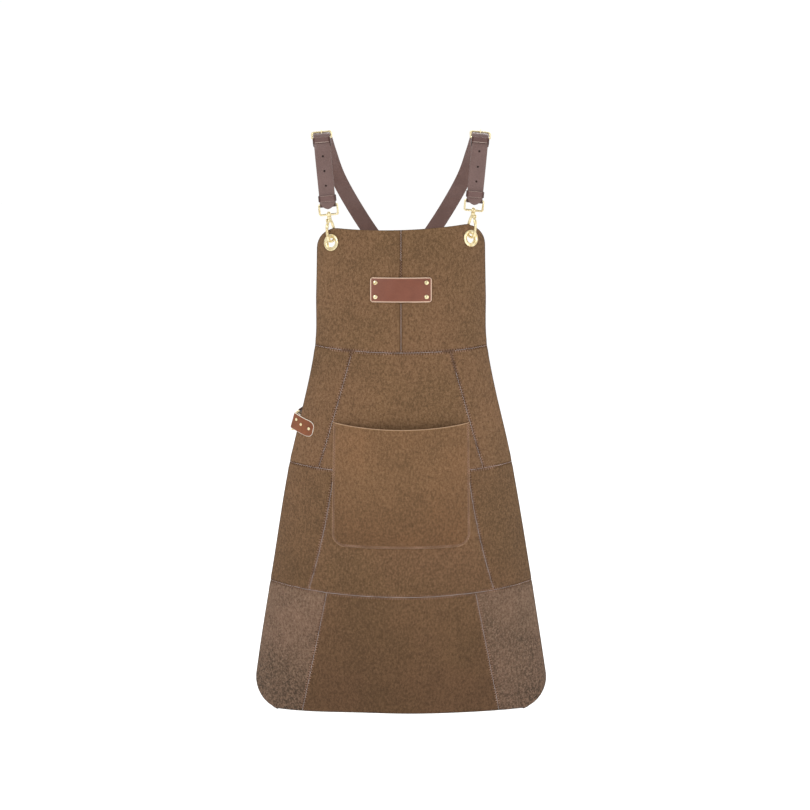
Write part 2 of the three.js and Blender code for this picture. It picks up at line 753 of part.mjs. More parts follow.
function gatePinGeometry() {
  return cylinderOnZ(PIN.radius, 7, 10).rotateY(Math.PI / 2).translate(0, PIN.y, PIN.z);
}

function addHook(side, frame, lift) {
  const { name, sign } = side;
  const holder = new THREE.Group();
  holder.position.set(0, strapLineY, -EYE.below + lift);
  frame.add(holder);
  addPart(`hook_eye_${name}`, hookEyeGeometry(), brassMaterial(), holder);
  const swivel = new THREE.Group();
  swivel.rotation.z = sign * HOOK.turn;
  holder.add(swivel);
  addPart(`hook_body_${name}`, hookBodyGeometry(), brassMaterial(), swivel);
  addPart(`hook_gate_${name}`, gateGeometry(), brassMaterial(), swivel);
  addPart(`hook_gate_pin_${name}`, gatePinGeometry(), brassMaterial(), swivel);
}

// ---------------------------------------------------------------- long straps

const up = new THREE.Vector3(0, 0, 1);

// A point and outward direction on the leather at the waist tab, a run past the raw edge (or, where the
// run is negative, short of it); the drape is carried on round the waist past the edge.
function waistPoint(side, run, offset) {
  const z = TAB.z + run * Math.tan(TAB.rise);
  const spread = SECTION_SPREAD * halfWidth(z);
  const edgeAngle = Math.asin(1 / SECTION_SPREAD);
  const speed = Math.hypot(spread * Math.cos(edgeAngle), drapeValue(z, 'depth') * Math.sin(edgeAngle));
  const x = side.sign * spread * Math.sin(edgeAngle + run / speed);
  return { point: leatherPoint(x, z, offset), out: drapeNormal(x, z) };
}

// Offsets from the leather's middle: of the ring's bar and the tab's loop round it, and of the tab's two
// layers from that. The tab grips both faces of the leather, or lies doubled behind it.
function tabLayers(side) {
  const loop = LOOP.bore + TAB.leather / 2;
  if (side.tabOutside) {
    const grip = (LEATHER + TAB.leather) / 2 + GAP;
    return { centre: 0, loop, front: grip, back: -grip };
  }
  const centre = -(LEATHER / 2 + GAP + TAB.leather + LOOP.bore);
  return { centre, loop, front: loop, back: loop - TAB.leather - GAP };
}

// The side ring's place and directions: its bar, upwards; away from the tab, round the body; and away
// from the body.
function ringDirections(side) {
  const { centre } = tabLayers(side);
  const { point, out } = waistPoint(side, side.ringRun, centre);
  const ahead = waistPoint(side, side.ringRun + 1, centre).point.sub(point);
  const bar = new THREE.Vector3().crossVectors(out, ahead).multiplyScalar(side.sign).normalize();
  const along = new THREE.Vector3(side.sign * RING.turn, 1, 0);
  along.addScaledVector(bar, -along.dot(bar)).normalize();
  const away = new THREE.Vector3().crossVectors(along, bar).multiplyScalar(side.sign).normalize();
  return { point, bar, along, away };
}

// The stations of a strap's lower end: an approach, a fold round the side ring and a return.
function strapEndStations(side) {
  const { point, bar, along, away } = ringDirections(side);
  const pull = along.clone().multiplyScalar(Math.cos(RING.strapAngle));
  pull.addScaledVector(bar, Math.sin(RING.strapAngle));
  const centre = point.clone().addScaledVector(pull, RING.radius);
  const at = (reach, offset, width, facing = away) => ({
    point: centre.clone().addScaledVector(pull, reach).addScaledVector(away, offset),
    out: facing.clone(),
    width,
  });
  const layer = STRAP.leather / 2 + GAP / 2;
  const { fold } = STRAP_END;
  const narrow = STRAP_END.width;
  const stations = [
    at(66, layer, STRAP.width),
    at(STRAP_END.taper + 6, layer, STRAP.width),
    at(STRAP_END.taper - 4, layer, STRAP.width - 4.5),
    at(30, layer, narrow + 6),
    at(21, layer, narrow + 1.5),
    at(12, layer, narrow),
    at(5, fold * 0.82, narrow),
  ];
  for (let k = 0; k <= 8; k += 1) {
    const angle = Math.PI * k / 8;
    const facing = away.clone().multiplyScalar(Math.cos(angle)).addScaledVector(pull, -Math.sin(angle));
    stations.push(at(-fold * Math.sin(angle), fold * Math.cos(angle), narrow, facing));
  }
  const inward = away.clone().negate();
  stations.push(at(5, -fold * 0.82, narrow, inward));
  stations.push(at(12, -layer, narrow, inward));
  stations.push(at(26, -layer, narrow + 3, inward));
  stations.push(at(STRAP_END.overlap, -layer, narrow + 5, inward));
  return { stations, rivet: { centre, pull, away } };
}

// The back of a strap: over the shoulder blade, across the spine and, in one even sweep, round to the
// opposite waist.
function backStations(side, start, end, pull) {
  const s = side.sign;
  const v = (x, y, z) => new THREE.Vector3(x, y, z);
  const crossing = v(0, CROSS.y + (s < 0 ? 1 : -1) * (STRAP.leather / 2 + GAP), CROSS.z);
  const rear = v(0, 1, 0);
  const leaving = v(-s * 0.57, -0.02, -0.82).multiplyScalar(CROSS.sweep).add(crossing);
  const arriving = pull.clone().multiplyScalar(CROSS.sweep).add(end.point);
  const sweep = new THREE.CubicBezierCurve3(crossing, leaving, arriving, end.point);
  const route = [
    [start.point, start.out],
    [v(s * (shoulderX - 2), arcCentre.y + 62, -9), v(0, 0.45, 0.9)],
    [v(s * (shoulderX - 8), arcCentre.y + 84, -34), v(0, 0.9, 0.45)],
    [v(s * 114, 84, -84), v(s * 0.12, 1, 0.12)],
    [v(s * 68, 98, -166), v(s * 0.08, 1, 0.04)],
    [crossing, rear],
    ...[[0.1, 0.01], [0.3, 0.22], [0.55, 0.5], [0.78, 0.78]].map(([t, turned]) => (
      [sweep.getPoint(t), rear.clone().lerp(end.out, turned)]
    )),
    [end.point, end.out],
  ];
  const points = new THREE.CatmullRomCurve3(route.map(([point]) => point), false, 'centripetal');
  const outs = route.map(([, out]) => out);
  const stations = [];
  const perSpan = 3;
  const spans = route.length - 1;
  for (let k = 1; k < spans * perSpan; k += 1) {
    const span = Math.min(Math.floor(k / perSpan), spans - 1);
    const t = k / perSpan - span;
    stations.push({
      point: points.getPoint(k / (spans * perSpan)),
      out: outs[span].clone().lerp(outs[span + 1], t).normalize(),
      width: STRAP.width,
    });
  }
  return stations;
}

// The strap's free end in front, from its rounded tip up through the keepers, over the heel bar and
// under the buckle's nose to the shoulder top: run forward, height off the body, width.
function frontStations(frame, eyeRun) {
  const full = STRAP.width;
  const layer = LOOP.mid + STRAP.leather + GAP + STRAP.leather / 2;
  const overLoop = LOOP.mid + LOOP.bore + STRAP.leather + GAP + STRAP.leather / 2;
  const flat = STRAP.leather / 2;
  const route = [
    [eyeRun + 4.9, overLoop, 5],
    [eyeRun + 3.9, overLoop, 12],
    [eyeRun + 1.2, overLoop, 19],
    [eyeRun - 3, overLoop - 0.7, 25.5],
    [eyeRun - 6.5, overLoop - 1.6, full],
    [eyeRun - 11, layer, full],
    [(eyeRun + arcLength) / 2, layer, full],
    [arcLength, layer, full],
    [heelRun + 19, layer, full],
    [heelRun + 14, layer + 0.6, full],
    [heelRun + 9, layer + 1.5, full],
    [heelRun + 4, overLoop, full],
    [heelRun, overLoop + 0.1, full],
    [heelRun - 4, overLoop - 1.2, full],
    [heelRun - 9, overLoop - 4.7, full],
    [heelRun - 13.5, 3.1, full],
    [noseRun, flat + 0.9, full],
    [noseRun - 7, flat, full],
  ];
  const inFrame = ([run, offset, width]) => {
    const { y, z, angle } = onStrap(run, offset);
    const out = new THREE.Vector3(0, -Math.cos(angle), Math.sin(angle));
    return {
      point: new THREE.Vector3(0, y, z).applyMatrix4(frame.matrix),
      out: out.transformDirection(frame.matrix),
      width,
    };
  };
  return route.map(inFrame);
}

function longStrapGeometry(side, opposite, frame, eyeRun) {
  const front = frontStations(frame, eyeRun);
  const flatTo = (run) => ({
    point: new THREE.Vector3(0, arcCentre.y - run, STRAP.leather / 2).applyMatrix4(frame.matrix),
    out: new THREE.Vector3(0, 0, 1).transformDirection(frame.matrix),
    width: STRAP.width,
  });
  const crest = [REST.from, REST.to, REST.end].map((run) => flatTo(-run));
  const { stations: end, rivet } = strapEndStations(opposite);
  const back = backStations(side, crest[2], end[0], rivet.pull);
  const body = ribbon([...front, ...crest, ...back, ...end], STRAP.leather);
  const cutters = [];
  for (let k = 0; k < PUNCH.count; k += 1) {
    const run = runAtHeight(PUNCH.first - PUNCH.pitch * k) + sideDrop(side.sign);
    const { y, z, angle } = onStrap(run, LOOP.mid + 2 * STRAP.leather);
    const punch = cylinderOnZ(PUNCH.radius, 3 * STRAP.leather, 10);
    punch.rotateX(Math.PI / 2 - angle);
    cutters.push(punch.translate(0, y, z).applyMatrix4(frame.matrix));
  }
  const heel = onStrap(heelRun, LOOP.mid);
  const nose = onStrap(noseRun, BUCKLE.noseOffset);
  const oval = new THREE.BoxGeometry(PRONG.slot - 0.6, 11, 12);
  oval.translate(0, BUCKLE.length * 0.52, 2.4);
  oval.rotateX(Math.atan2(nose.z - heel.z, nose.y - heel.y));
  cutters.push(oval.translate(0, heel.y, heel.z).applyMatrix4(frame.matrix));
  cutters.push(rivetHole(crossMatrix()), rivetHole(strapRivetMatrix(rivet)));
  return cut(body, cutters);
}

// The rivet through the crossing, headed to the rear.
function crossMatrix() {
  return new THREE.Matrix4().makeRotationX(-Math.PI / 2).setPosition(0, CROSS.y, CROSS.z);
}

function strapRivetMatrix({ centre, pull, away }) {
  const across = new THREE.Vector3().crossVectors(pull, away).normalize();
  const position = centre.clone().addScaledVector(pull, STRAP_END.rivet);
  return new THREE.Matrix4().makeBasis(across, pull, away.clone()).setPosition(position);
}

function addShoulder(side, opposite) {
  const { name, sign } = side;
  const frame = shoulderFrame(side);
  apron.add(frame);
  const drop = sideDrop(sign);
  const eyeRun = runAtHeight(-EYE.below + EYE.height) + drop;
  const strap = () => leatherMaterial(STRAP_LEATHER);
  addPart(`chape_${name}`, chapeGeometry(eyeRun), strap(), frame);
  const upperKeeper = keeperGeometry(heelRun + UPPER_KEEPER.drop, UPPER_KEEPER);
  const lowerKeeper = keeperGeometry(eyeRun - LOWER_KEEPER.rise, LOWER_KEEPER);
  addPart(`upper_keeper_${name}`, upperKeeper, strap(), frame);
  addPart(`lower_keeper_${name}`, lowerKeeper, strap(), frame);
  addPart(`buckle_frame_${name}`, buckleGeometry(), brassMaterial(), frame);
  addPart(`buckle_prong_${name}`, prongGeometry(), brassMaterial(), frame);
  addHook(side, frame, -drop);
  addPart(`long_strap_${name}`, longStrapGeometry(side, opposite, frame, eyeRun), strap());
}

// ---------------------------------------------------------------- waist tabs and side rings

// A tab folded round the side ring's bar.
function addTab(side) {
  const { name, ringRun } = side;
  const { centre, loop, front, back } = tabLayers(side);
  const at = (run, offset, width = TAB.width, inward = false) => {
    const { point, out } = waistPoint(side, run, centre + offset);
    return { point, out: inward ? out.negate() : out, width };
  };
  const opening = (layer, wall, distance) => {
    const closed = THREE.MathUtils.smoothstep(distance, 0, TAB.mouth);
    return THREE.MathUtils.lerp(wall, layer, closed);
  };
  const outerStart = ringRun - TAB.front;
  const stations = [
    at(outerStart, front, 12),
    at(outerStart + 1.2, front, 20),
    at(outerStart + 4.5, front, 25.6),
    at(outerStart + 9, front),
    at(outerStart + 18, front),
    at(ringRun - 27, front),
    at(ringRun - 19, front),
  ];
  const nearing = [TAB.mouth, 6.5, 4.5, 2.5];
  nearing.forEach((distance) => stations.push(at(ringRun - distance, opening(front, loop, distance))));
  const { point, out } = waistPoint(side, ringRun, centre);
  const ahead = waistPoint(side, ringRun + 1, centre).point.sub(point).normalize();
  for (let k = 0; k <= 8; k += 1) {
    const angle = Math.PI * k / 8;
    const facing = out.clone().multiplyScalar(Math.cos(angle)).addScaledVector(ahead, Math.sin(angle));
    stations.push({ point: point.clone().addScaledVector(facing, loop), out: facing, width: TAB.width });
  }
  nearing.reverse().forEach((distance) => {
    stations.push(at(ringRun - distance, opening(back, -loop, distance), TAB.width, true));
  });
  stations.push(at(ringRun - 19, back, TAB.width, true));
  stations.push(at(ringRun - 31, back, TAB.width, true));
  stations.push(at(ringRun - TAB.inner, back, TAB.width, true));
  const seats = tabRivetSeats(side);
  const holes = seats.map(rivetHole);
  addPart(`waist_tab_${name}`, cut(ribbon(stations, TAB.leather), holes), leatherMaterial(TAB_LEATHER));
  const thickness = LEATHER + 2 * (TAB.leather + GAP);
  seats.forEach((matrix, k) => {
    place(addPart(`tab_rivet_${name}_${k + 1}`, rivetGeometry(thickness, 0.92), brassMaterial()), matrix);
  });
}

function tabRivetSeats(side) {
  return side.tabRivets.map(([run, rise]) => {
    const { point, out } = waistPoint(side, run, 0);
    const across = new THREE.Vector3().crossVectors(up, out).normalize();
    const rising = new THREE.Vector3().crossVectors(out, across);
    const position = point.addScaledVector(rising, rise);
    return new THREE.Matrix4().makeBasis(across, rising, out).setPosition(position);
  });
}

// The side ring: a D with its straight bar in the tab's fold.
function addSideRing(side) {
  const { point, bar, along, away } = ringDirections(side);
  const outline = (path, inset) => {
    const radius = RING.radius + inset;
    path.moveTo(-radius, -inset);
    path.lineTo(radius, -inset);
    path.lineTo(radius, 0);
    path.absarc(0, 0, radius, 0, Math.PI);
    path.lineTo(-radius, -inset);
    return path;
  };
  const outer = outline(new THREE.Shape(), WIRE);
  const inner = outline(new THREE.Path(), -WIRE);
  const geometry = castRing(outer, inner);
  const across = bar.clone().multiplyScalar(-side.sign);
  const matrix = new THREE.Matrix4().makeBasis(across, along, away).setPosition(point);
  place(addPart(`side_ring_${side.name}`, geometry, brassMaterial()), matrix);
}

function addStrapRivets() {
  const grip = 2 * STRAP.leather + GAP;
  SIDES.forEach((side) => {
    const { rivet } = strapEndStations(side);
    const part = addPart(`strap_rivet_${side.name}`, rivetGeometry(grip), brassMaterial());
    place(part, strapRivetMatrix(rivet));
  });
}

// A round leather patch and a rivet hold the two long straps where they cross on the back.
function addCrossing() {
  const outside = CROSS.y + STRAP.leather + 2 * GAP + 1;
  const disc = cylinderOnZ(CROSS.patch, STRAP.leather, 28);
  disc.rotateX(Math.PI / 2).translate(0, outside + STRAP.leather / 2, CROSS.z);
  addPart('cross_patch', cut(disc, [rivetHole(crossMatrix())]), leatherMaterial(STRAP_LEATHER));
  const inside = CROSS.y - STRAP.leather - GAP;
  const outer = outside + STRAP.leather;
  const rivet = rivetGeometry(outer - inside, 1.3).rotateX(-Math.PI / 2);
  addPart('cross_rivet', rivet.translate(0, (outer + inside) / 2, CROSS.z), brassMaterial());
}

// ---------------------------------------------------------------- assembly

addBibPanels();
const frontTab = tabRivetSeats(SIDES[0]).map(rivetHole);
const tabHoles = { right: frontTab };
addPanelRow('waist', waistSeam, below(bibSeam), above(hipSeam), rowFractions(6), tabHoles, SUEDE);
addPanelRow('skirt', skirtSeam, below(hipSeam), above(hemSeam), rowFractions(5), {}, SUEDE);
const hemShare = HEM_CORNER / (SEAM_HEM - HEM);
addPanelRow('hem', hemRowSeam, below(hemSeam), hemLine, rowFractions(4, 0, hemShare), {}, SUEDE_GREY);
addPocket();
addLabel();
addEyelets();
addShoulder(SIDES[0], SIDES[1]);
addShoulder(SIDES[1], SIDES[0]);
SIDES.forEach(addTab);
SIDES.forEach(addSideRing);
addStrapRivets();
addCrossing();

export default apron;
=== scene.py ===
import math

import bmesh
import bpy
import numpy as np
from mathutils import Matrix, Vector


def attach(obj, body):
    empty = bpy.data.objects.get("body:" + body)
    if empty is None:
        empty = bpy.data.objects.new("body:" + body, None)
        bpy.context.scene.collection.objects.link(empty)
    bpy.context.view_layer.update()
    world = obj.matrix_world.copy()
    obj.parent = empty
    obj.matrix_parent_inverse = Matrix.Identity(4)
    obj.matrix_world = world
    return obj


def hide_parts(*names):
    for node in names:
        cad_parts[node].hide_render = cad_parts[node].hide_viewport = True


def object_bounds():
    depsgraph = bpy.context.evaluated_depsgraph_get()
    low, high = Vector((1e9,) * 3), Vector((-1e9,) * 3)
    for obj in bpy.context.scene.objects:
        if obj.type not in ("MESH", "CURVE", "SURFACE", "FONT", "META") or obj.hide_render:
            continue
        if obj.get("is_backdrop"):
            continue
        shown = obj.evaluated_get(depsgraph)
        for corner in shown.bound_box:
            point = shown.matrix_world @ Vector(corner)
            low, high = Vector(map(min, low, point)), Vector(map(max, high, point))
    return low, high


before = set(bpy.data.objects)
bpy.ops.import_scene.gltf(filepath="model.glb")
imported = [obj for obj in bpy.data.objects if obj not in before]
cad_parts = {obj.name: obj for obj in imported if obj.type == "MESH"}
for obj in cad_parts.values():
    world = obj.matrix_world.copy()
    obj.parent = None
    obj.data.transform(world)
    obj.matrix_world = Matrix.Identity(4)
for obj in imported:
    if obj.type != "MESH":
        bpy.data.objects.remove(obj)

cad_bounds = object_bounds()

MM = 0.001
SIDES = {"right": -1, "left": 1}

# ---------------------------------------------------------------- driving dimensions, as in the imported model

# Height, half width, front line and depth of the draped leather's elliptical section.
DRAPE = np.array([
    (-150, 147, -92, 100),
    (-270, 149, -113, 100),
    (-370, 152, -122, 100),
    (-584, 200, -133, 138),
    (-808, 239, -141, 174),
    (-1045, 276, -148, 204),
], float)
HALF, FRONT, DEPTH = 1, 2, 3
SECTION_SPREAD = 1.14
LEATHER = 2.0

BIB_TOP, BIB_SAG, BIB_TILT, BIB_CORNER = -154, 4.7, 0.03, 37
SEAM_BIB, SEAM_HIP, SEAM_HEM, SEAM_RISE = -370, -584, -808.5, 5
HEM, HEM_DROP, HEM_CORNER = -1025, 11, 52
POCKET_HALF, POCKET_FLARE, POCKET_TOP, POCKET_SAG = 119, 4, -496, 7
POCKET_BOTTOM, POCKET_CORNER, POCKET_POUCH = -719, 24, 13
LABEL_HALF, LABEL_HEIGHT, LABEL_Z, LABEL_CORNER, LABEL_LEATHER = 53, 43, -261, 5, 2.2
EYELET_X, EYELET_Z, EYELET_BORE, EYELET_FLANGE = 121.4, -180, 8, 14.8

STRAP_WIDTH, STRAP_LEATHER, LEAN, SHOULDER_RADIUS = 27.5, 2.4, math.radians(5.2), 30
WIRE, LOOP_BORE, LOOP_MID = 1.8, 2.2, 4.8
EYE_WIDTH, EYE_HEIGHT, EYE_BELOW = 31.8, 17.5, 131.7
BUCKLE_WIDTH, BUCKLE_LENGTH, HEEL_ANGLE, NOSE_OFFSET = 33.4, 20, math.radians(50), 6
HOOK_HALF, HOOK_DROP, HOOK_SPLIT, HOOK_TURN = 9, 47, 25, math.radians(40)
PIN_Y, PIN_Z, PIN_RADIUS = -3.6, -10.4, 0.9
TAB_Z, TAB_RISE, TAB_WIDTH, TAB_LEATHER = -507.5, math.radians(12), 29.2, 2.2
TAB_FRONT, TAB_INNER, TAB_MOUTH = 50.5, 44, 8
TAB_RIVETS = [(-28.5, 0.5), (-10, 1.5), (3.5, 5.5)]
RING_RUN = {"right": 14, "left": -3}
RING_RADIUS, RING_TURN, RING_STRAP_ANGLE = 18, -0.58, math.radians(42)
FOLD_WIDTH, FOLD_RADIUS, FOLD_OVERLAP, FOLD_RIVET = 10, 4.7, 34, 21
CROSS_Y, CROSS_Z, CROSS_PATCH, CROSS_SWEEP = 104, -262, 23, 92
GAP = 0.3
# Half the gap between two panels at a seam, the spacing of the panels' and the label's vertices, and the
# pocket's width along the leather, which spaces its columns.
SEAM_HALF_GAP, GRID, LABEL_GRID, POCKET_SPAN = 0.1, 4.5, 1.3, 240
ROW_HEIGHT = 220

# Stitching: half width of the zigzag, travel for each leg, thread radius on the seams and where it is stronger.
STITCH_HALF, STITCH_LEG, THREAD, STRONG_THREAD = 4.4, 2.35, 0.42, 0.45

# ---------------------------------------------------------------- small maths


def smoothstep(t):
    t = np.clip(t, 0, 1)
    return t * t * (3 - 2 * t)


def unit(v):
    v = np.asarray(v, float)
    return v / np.maximum(np.linalg.norm(v, axis=-1, keepdims=True), 1e-12)


def along_curve(points, closed=False):
    """Unit tangents of a polyline."""
    p = np.asarray(points, float)
    if closed:
        return unit(np.roll(p, -1, 0) - np.roll(p, 1, 0))
    return unit(np.gradient(p, axis=0))


def distances(points):
    """How far each point is along its polyline."""
    return np.concatenate([[0], np.cumsum(np.linalg.norm(np.diff(points, axis=0), axis=1))])


def segment(at, where):
    """The span of the increasing positions `at` that each place falls in, and how far along it the place is."""
    k = np.clip(np.searchsorted(at, where, side="right") - 1, 0, len(at) - 2)
    return k, (where - at[k]) / (at[k + 1] - at[k])


def cubic(t, a, slope_a, b, slope_b, span=1.0):
    """The smooth curve from a to b over a span, with these slopes at its ends."""
    return ((2 * t**3 - 3 * t**2 + 1) * a + (t**3 - 2 * t**2 + t) * span * slope_a
            + (3 * t**2 - 2 * t**3) * b + (t**3 - t**2) * span * slope_b)


def hermite(values, at, where):
    """Smooth interpolation of rows of values, known at increasing positions `at`."""
    slopes = np.gradient(values, at, axis=0)
    k, t = segment(at, where)
    return cubic(t[:, None], values[k], slopes[k], values[k + 1], slopes[k + 1], (at[k + 1] - at[k])[:, None])


# ---------------------------------------------------------------- the draped surface


def drape_value(z, column):
    heights, values = DRAPE[:, 0], DRAPE[:, column]
    k, t = segment(-heights, -np.asarray(z, float))
    before, after = np.maximum(k - 1, 0), np.minimum(k + 2, len(DRAPE) - 1)
    slope_a = (values[k + 1] - values[before]) / (heights[k + 1] - heights[before])
    slope_b = (values[after] - values[k]) / (heights[after] - heights[k])
    return cubic(t, values[k], slope_a, values[k + 1], slope_b, heights[k + 1] - heights[k])


def half_width(z):
    return drape_value(z, HALF)


def drape_y(x, z):
    t = x / (SECTION_SPREAD * half_width(z))
    return drape_value(z, FRONT) + drape_value(z, DEPTH) * (1 - np.sqrt(np.maximum(1 - t * t, 0)))


def ripple(x, z):
    """Slow waves in the hanging leather, none at the grommets or at the waist tabs."""
    free = smoothstep((-z - 235) / 150) * (1 - np.exp(-((np.abs(x) - 190) ** 2 + (z + 509) ** 2) / 62**2))
    waves = (0.7 * np.sin(x / 47 + 1.3 * np.sin(z / 170)) + 0.5 * np.sin(z / 61 + x / 90 + 0.8)
             + 0.35 * np.sin(x / 23 - z / 131))
    hem = smoothstep((-z - 800) / 240) * 1.5 * np.sin(x / 41 + 0.7)
    return free * (waves + hem)


def drape_normal(x, z):
    step = 0.5
    slope_x = (drape_y(x + step, z) - drape_y(x - step, z)) / (2 * step)
    slope_z = (drape_y(x, z + step) - drape_y(x, z - step)) / (2 * step)
    return unit(np.stack([slope_x, -np.ones_like(slope_x), slope_z], -1))


def leather_point(x, z, offset=0.0):
    x, z = np.broadcast_arrays(np.asarray(x, float), np.asarray(z, float))
    base = np.stack([x, drape_y(x, z), z], -1)
    lift = np.asarray(offset + ripple(x, z))
    return base + drape_normal(x, z) * lift[..., None]


def corner_inset(distance, radius):
    d = np.clip(distance, 0, radius)
    return radius - np.sqrt(radius**2 - (radius - d) ** 2)


def bib_top(x):
    return BIB_TOP - BIB_SAG * np.maximum(0, 1 - (x / EYELET_X) ** 2) + BIB_TILT * x


def cross_seam(level):
    return lambda x: level + SEAM_RISE * (x / half_width(level)) ** 2


bib_seam, hip_seam, hem_seam = cross_seam(SEAM_BIB), cross_seam(SEAM_HIP), cross_seam(SEAM_HEM)


def hem_line(x):
    return HEM - HEM_DROP * (x / 200) ** 2


def side_edge(sign):
    def edge(z):
        half = half_width(z)
        from_top = bib_top(sign * (half - BIB_CORNER)) - z
        from_hem = z - hem_line(half - HEM_CORNER)
        return sign * (half - corner_inset(from_top, BIB_CORNER) - corner_inset(from_hem, HEM_CORNER))
    return edge


def waist_seam(z):
    t = (SEAM_BIB - z) / (SEAM_BIB - SEAM_HIP)
    return 86 + 61.5 * t - 3 * t * (1 - t)


def skirt_seam(z):
    t = (SEAM_HIP - z) / (SEAM_HIP - SEAM_HEM)
    return 119 + 30 * t + 19 * t * t


def hem_row_seam(z):
    return 134 + 44 * (SEAM_HEM - z) / (SEAM_HEM - HEM)


# ---------------------------------------------------------------- meshes


def clean_mesh(name, vertices, faces, marks=None):
    """A mesh from millimetre vertices, with its faces turned outward."""
    mesh = bpy.data.meshes.new(name)
    mesh.from_pydata((np.asarray(vertices, float) * MM).tolist(), [], [list(map(int, f)) for f in faces])
    for key, values in (marks or {}).items():
        mesh.attributes.new(key, "FLOAT", "POINT").data.foreach_set("value", np.asarray(values, np.float32))
    work = bmesh.new()
    work.from_mesh(mesh)
    bmesh.ops.recalc_face_normals(work, faces=work.faces)
    work.to_mesh(mesh)
    work.free()
    return mesh


def make_piece(name, vertices, faces, material, body="apron", cad=True, marks=None, sharp=50):
    """A visible piece, which stands in for the CAD node of its own name unless cad is False. marks are named
    numbers for each vertex, read by its material."""
    mesh = clean_mesh(name, vertices, faces, marks)
    mesh.shade_smooth()
    mesh.set_sharp_from_angle(angle=math.radians(sharp))
    mesh.materials.append(material)
    piece = bpy.data.objects.new(name, mesh)
    bpy.context.scene.collection.objects.link(piece)
    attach(piece, body)
    if cad:
        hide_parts(name)
    return piece


def make_brass(name, parts, matrix, body="apron", sharp=50, melt=None):
    """A brass piece from closed parts in a local frame. melt is fuse()'s voxel size and passes, for a casting."""
    vertices, faces = merge_parts(parts)
    piece = make_piece(name, transform(vertices, matrix), faces, BRASS, body, sharp=sharp)
    if melt:
        fuse(piece, *melt)
    return piece


def make_thread(name, line, radius):
    """A thread laid along a line of points."""
    vertices, faces = tube(line, radius, sides=6)
    make_piece(name, vertices, faces, THREAD_LOOK, cad=False, sharp=180)


def merge_parts(parts):
    """Several (vertices, faces) as one."""
    vertices, faces, base = [], [], 0
    for v, f in parts:
        vertices.append(np.asarray(v, float))
        faces.extend([[base + i for i in face] for face in f])
        base += len(v)
    return np.concatenate(vertices), faces


def apply_modifiers(piece):
    bpy.context.view_layer.update()
    evaluated = piece.evaluated_get(bpy.context.evaluated_depsgraph_get())
    mesh = bpy.data.meshes.new_from_object(evaluated)
    piece.modifiers.clear()
    piece.data = mesh


def cut_holes(piece, cutters, sharp=35):
    """Cuts closed shapes, given as (vertices, faces) in millimetres, out of a piece."""
    cutter = bpy.data.objects.new("cutter", clean_mesh("cutter", *merge_parts(cutters)))
    bpy.context.scene.collection.objects.link(cutter)
    boolean = piece.modifiers.new("cut", "BOOLEAN")
    boolean.operation = "DIFFERENCE"
    boolean.solver = "EXACT"
    boolean.object = cutter
    apply_modifiers(piece)
    bpy.data.objects.remove(cutter)
    piece.data.set_sharp_from_angle(angle=math.radians(sharp))


def fuse(piece, voxel, passes):
    """Melts overlapping closed parts into one cast surface."""
    remesh = piece.modifiers.new("fuse", "REMESH")
    remesh.mode = "VOXEL"
    remesh.voxel_size = voxel * MM
    smooth = piece.modifiers.new("smooth", "SMOOTH")
    smooth.factor = 0.5
    smooth.iterations = passes
    apply_modifiers(piece)
    piece.data.shade_smooth()


def wall_faces(rows, sides, closed):
    """Quads between rows of vertices that each go once round. An open wall gets its two end faces too."""
    faces = []
    for k in range(rows if closed else rows - 1):
        m = (k + 1) % rows
        for i in range(sides):
            j = (i + 1) % sides
            faces.append([k * sides + i, k * sides + j, m * sides + j, m * sides + i])
    if not closed:
        faces.append(list(range(sides)))
        faces.append([(rows - 1) * sides + i for i in reversed(range(sides))])
    return faces


def tube(points, radii, sides=12, closed=False, up=(0.0, 0.0, 1.0), flat=1.0):
    """A round bar along points, with domed ends. flat is the section's height over its width."""
    p = np.asarray(points, float)
    r = np.broadcast_to(np.asarray(radii, float), (len(p),)).copy()
    if not closed:
        dome = [math.radians(a) for a in (80, 55, 28)]
        start, end = unit(p[0] - p[1]), unit(p[-1] - p[-2])
        head = [p[0] + start * r[0] * math.sin(a) for a in dome]
        tail = [p[-1] + end * r[-1] * math.sin(a) for a in reversed(dome)]
        r = np.concatenate([[r[0] * math.cos(a) for a in dome], r, [r[-1] * math.cos(a) for a in reversed(dome)]])
        p = np.concatenate([head, p, tail])
    t = along_curve(p, closed)
    side = unit(np.cross(t[0], up) if abs(np.dot(t[0], up)) < 0.95 else np.cross(t[0], (1.0, 0.0, 0.0)))
    frames = []
    for k in range(len(p)):
        side = unit(side - t[k] * np.dot(side, t[k]))
        frames.append((side, np.cross(t[k], side)))
    angles = np.arange(sides) * 2 * math.pi / sides
    rings = [p[k] + r[k] * (np.outer(np.cos(angles), s) + flat * np.outer(np.sin(angles), n))
             for k, (s, n) in enumerate(frames)]
    return np.concatenate(rings), wall_faces(len(p), sides, closed)


def lathe(profile, segments=48, matrix=np.eye(4)):
    """Turns (radius, height) pairs about local Z. A profile that starts and ends on the axis is a solid;
    otherwise it closes on itself."""
    solid = profile[0][0] == 0 and profile[-1][0] == 0
    body = profile[1:-1] if solid else profile
    angles = np.arange(segments) * 2 * math.pi / segments
    vertices = [(r * math.cos(a), r * math.sin(a), h) for r, h in body for a in angles]
    faces = wall_faces(len(body), segments, not solid)
    if solid:
        faces = faces[:-2]
        for row, (_, height) in ((0, profile[0]), (len(body) - 1, profile[-1])):
            tip = len(vertices)
            vertices.append((0, 0, height))
            faces.extend([row * segments + i, row * segments + (i + 1) % segments, tip] for i in range(segments))
    return transform(vertices, matrix), faces


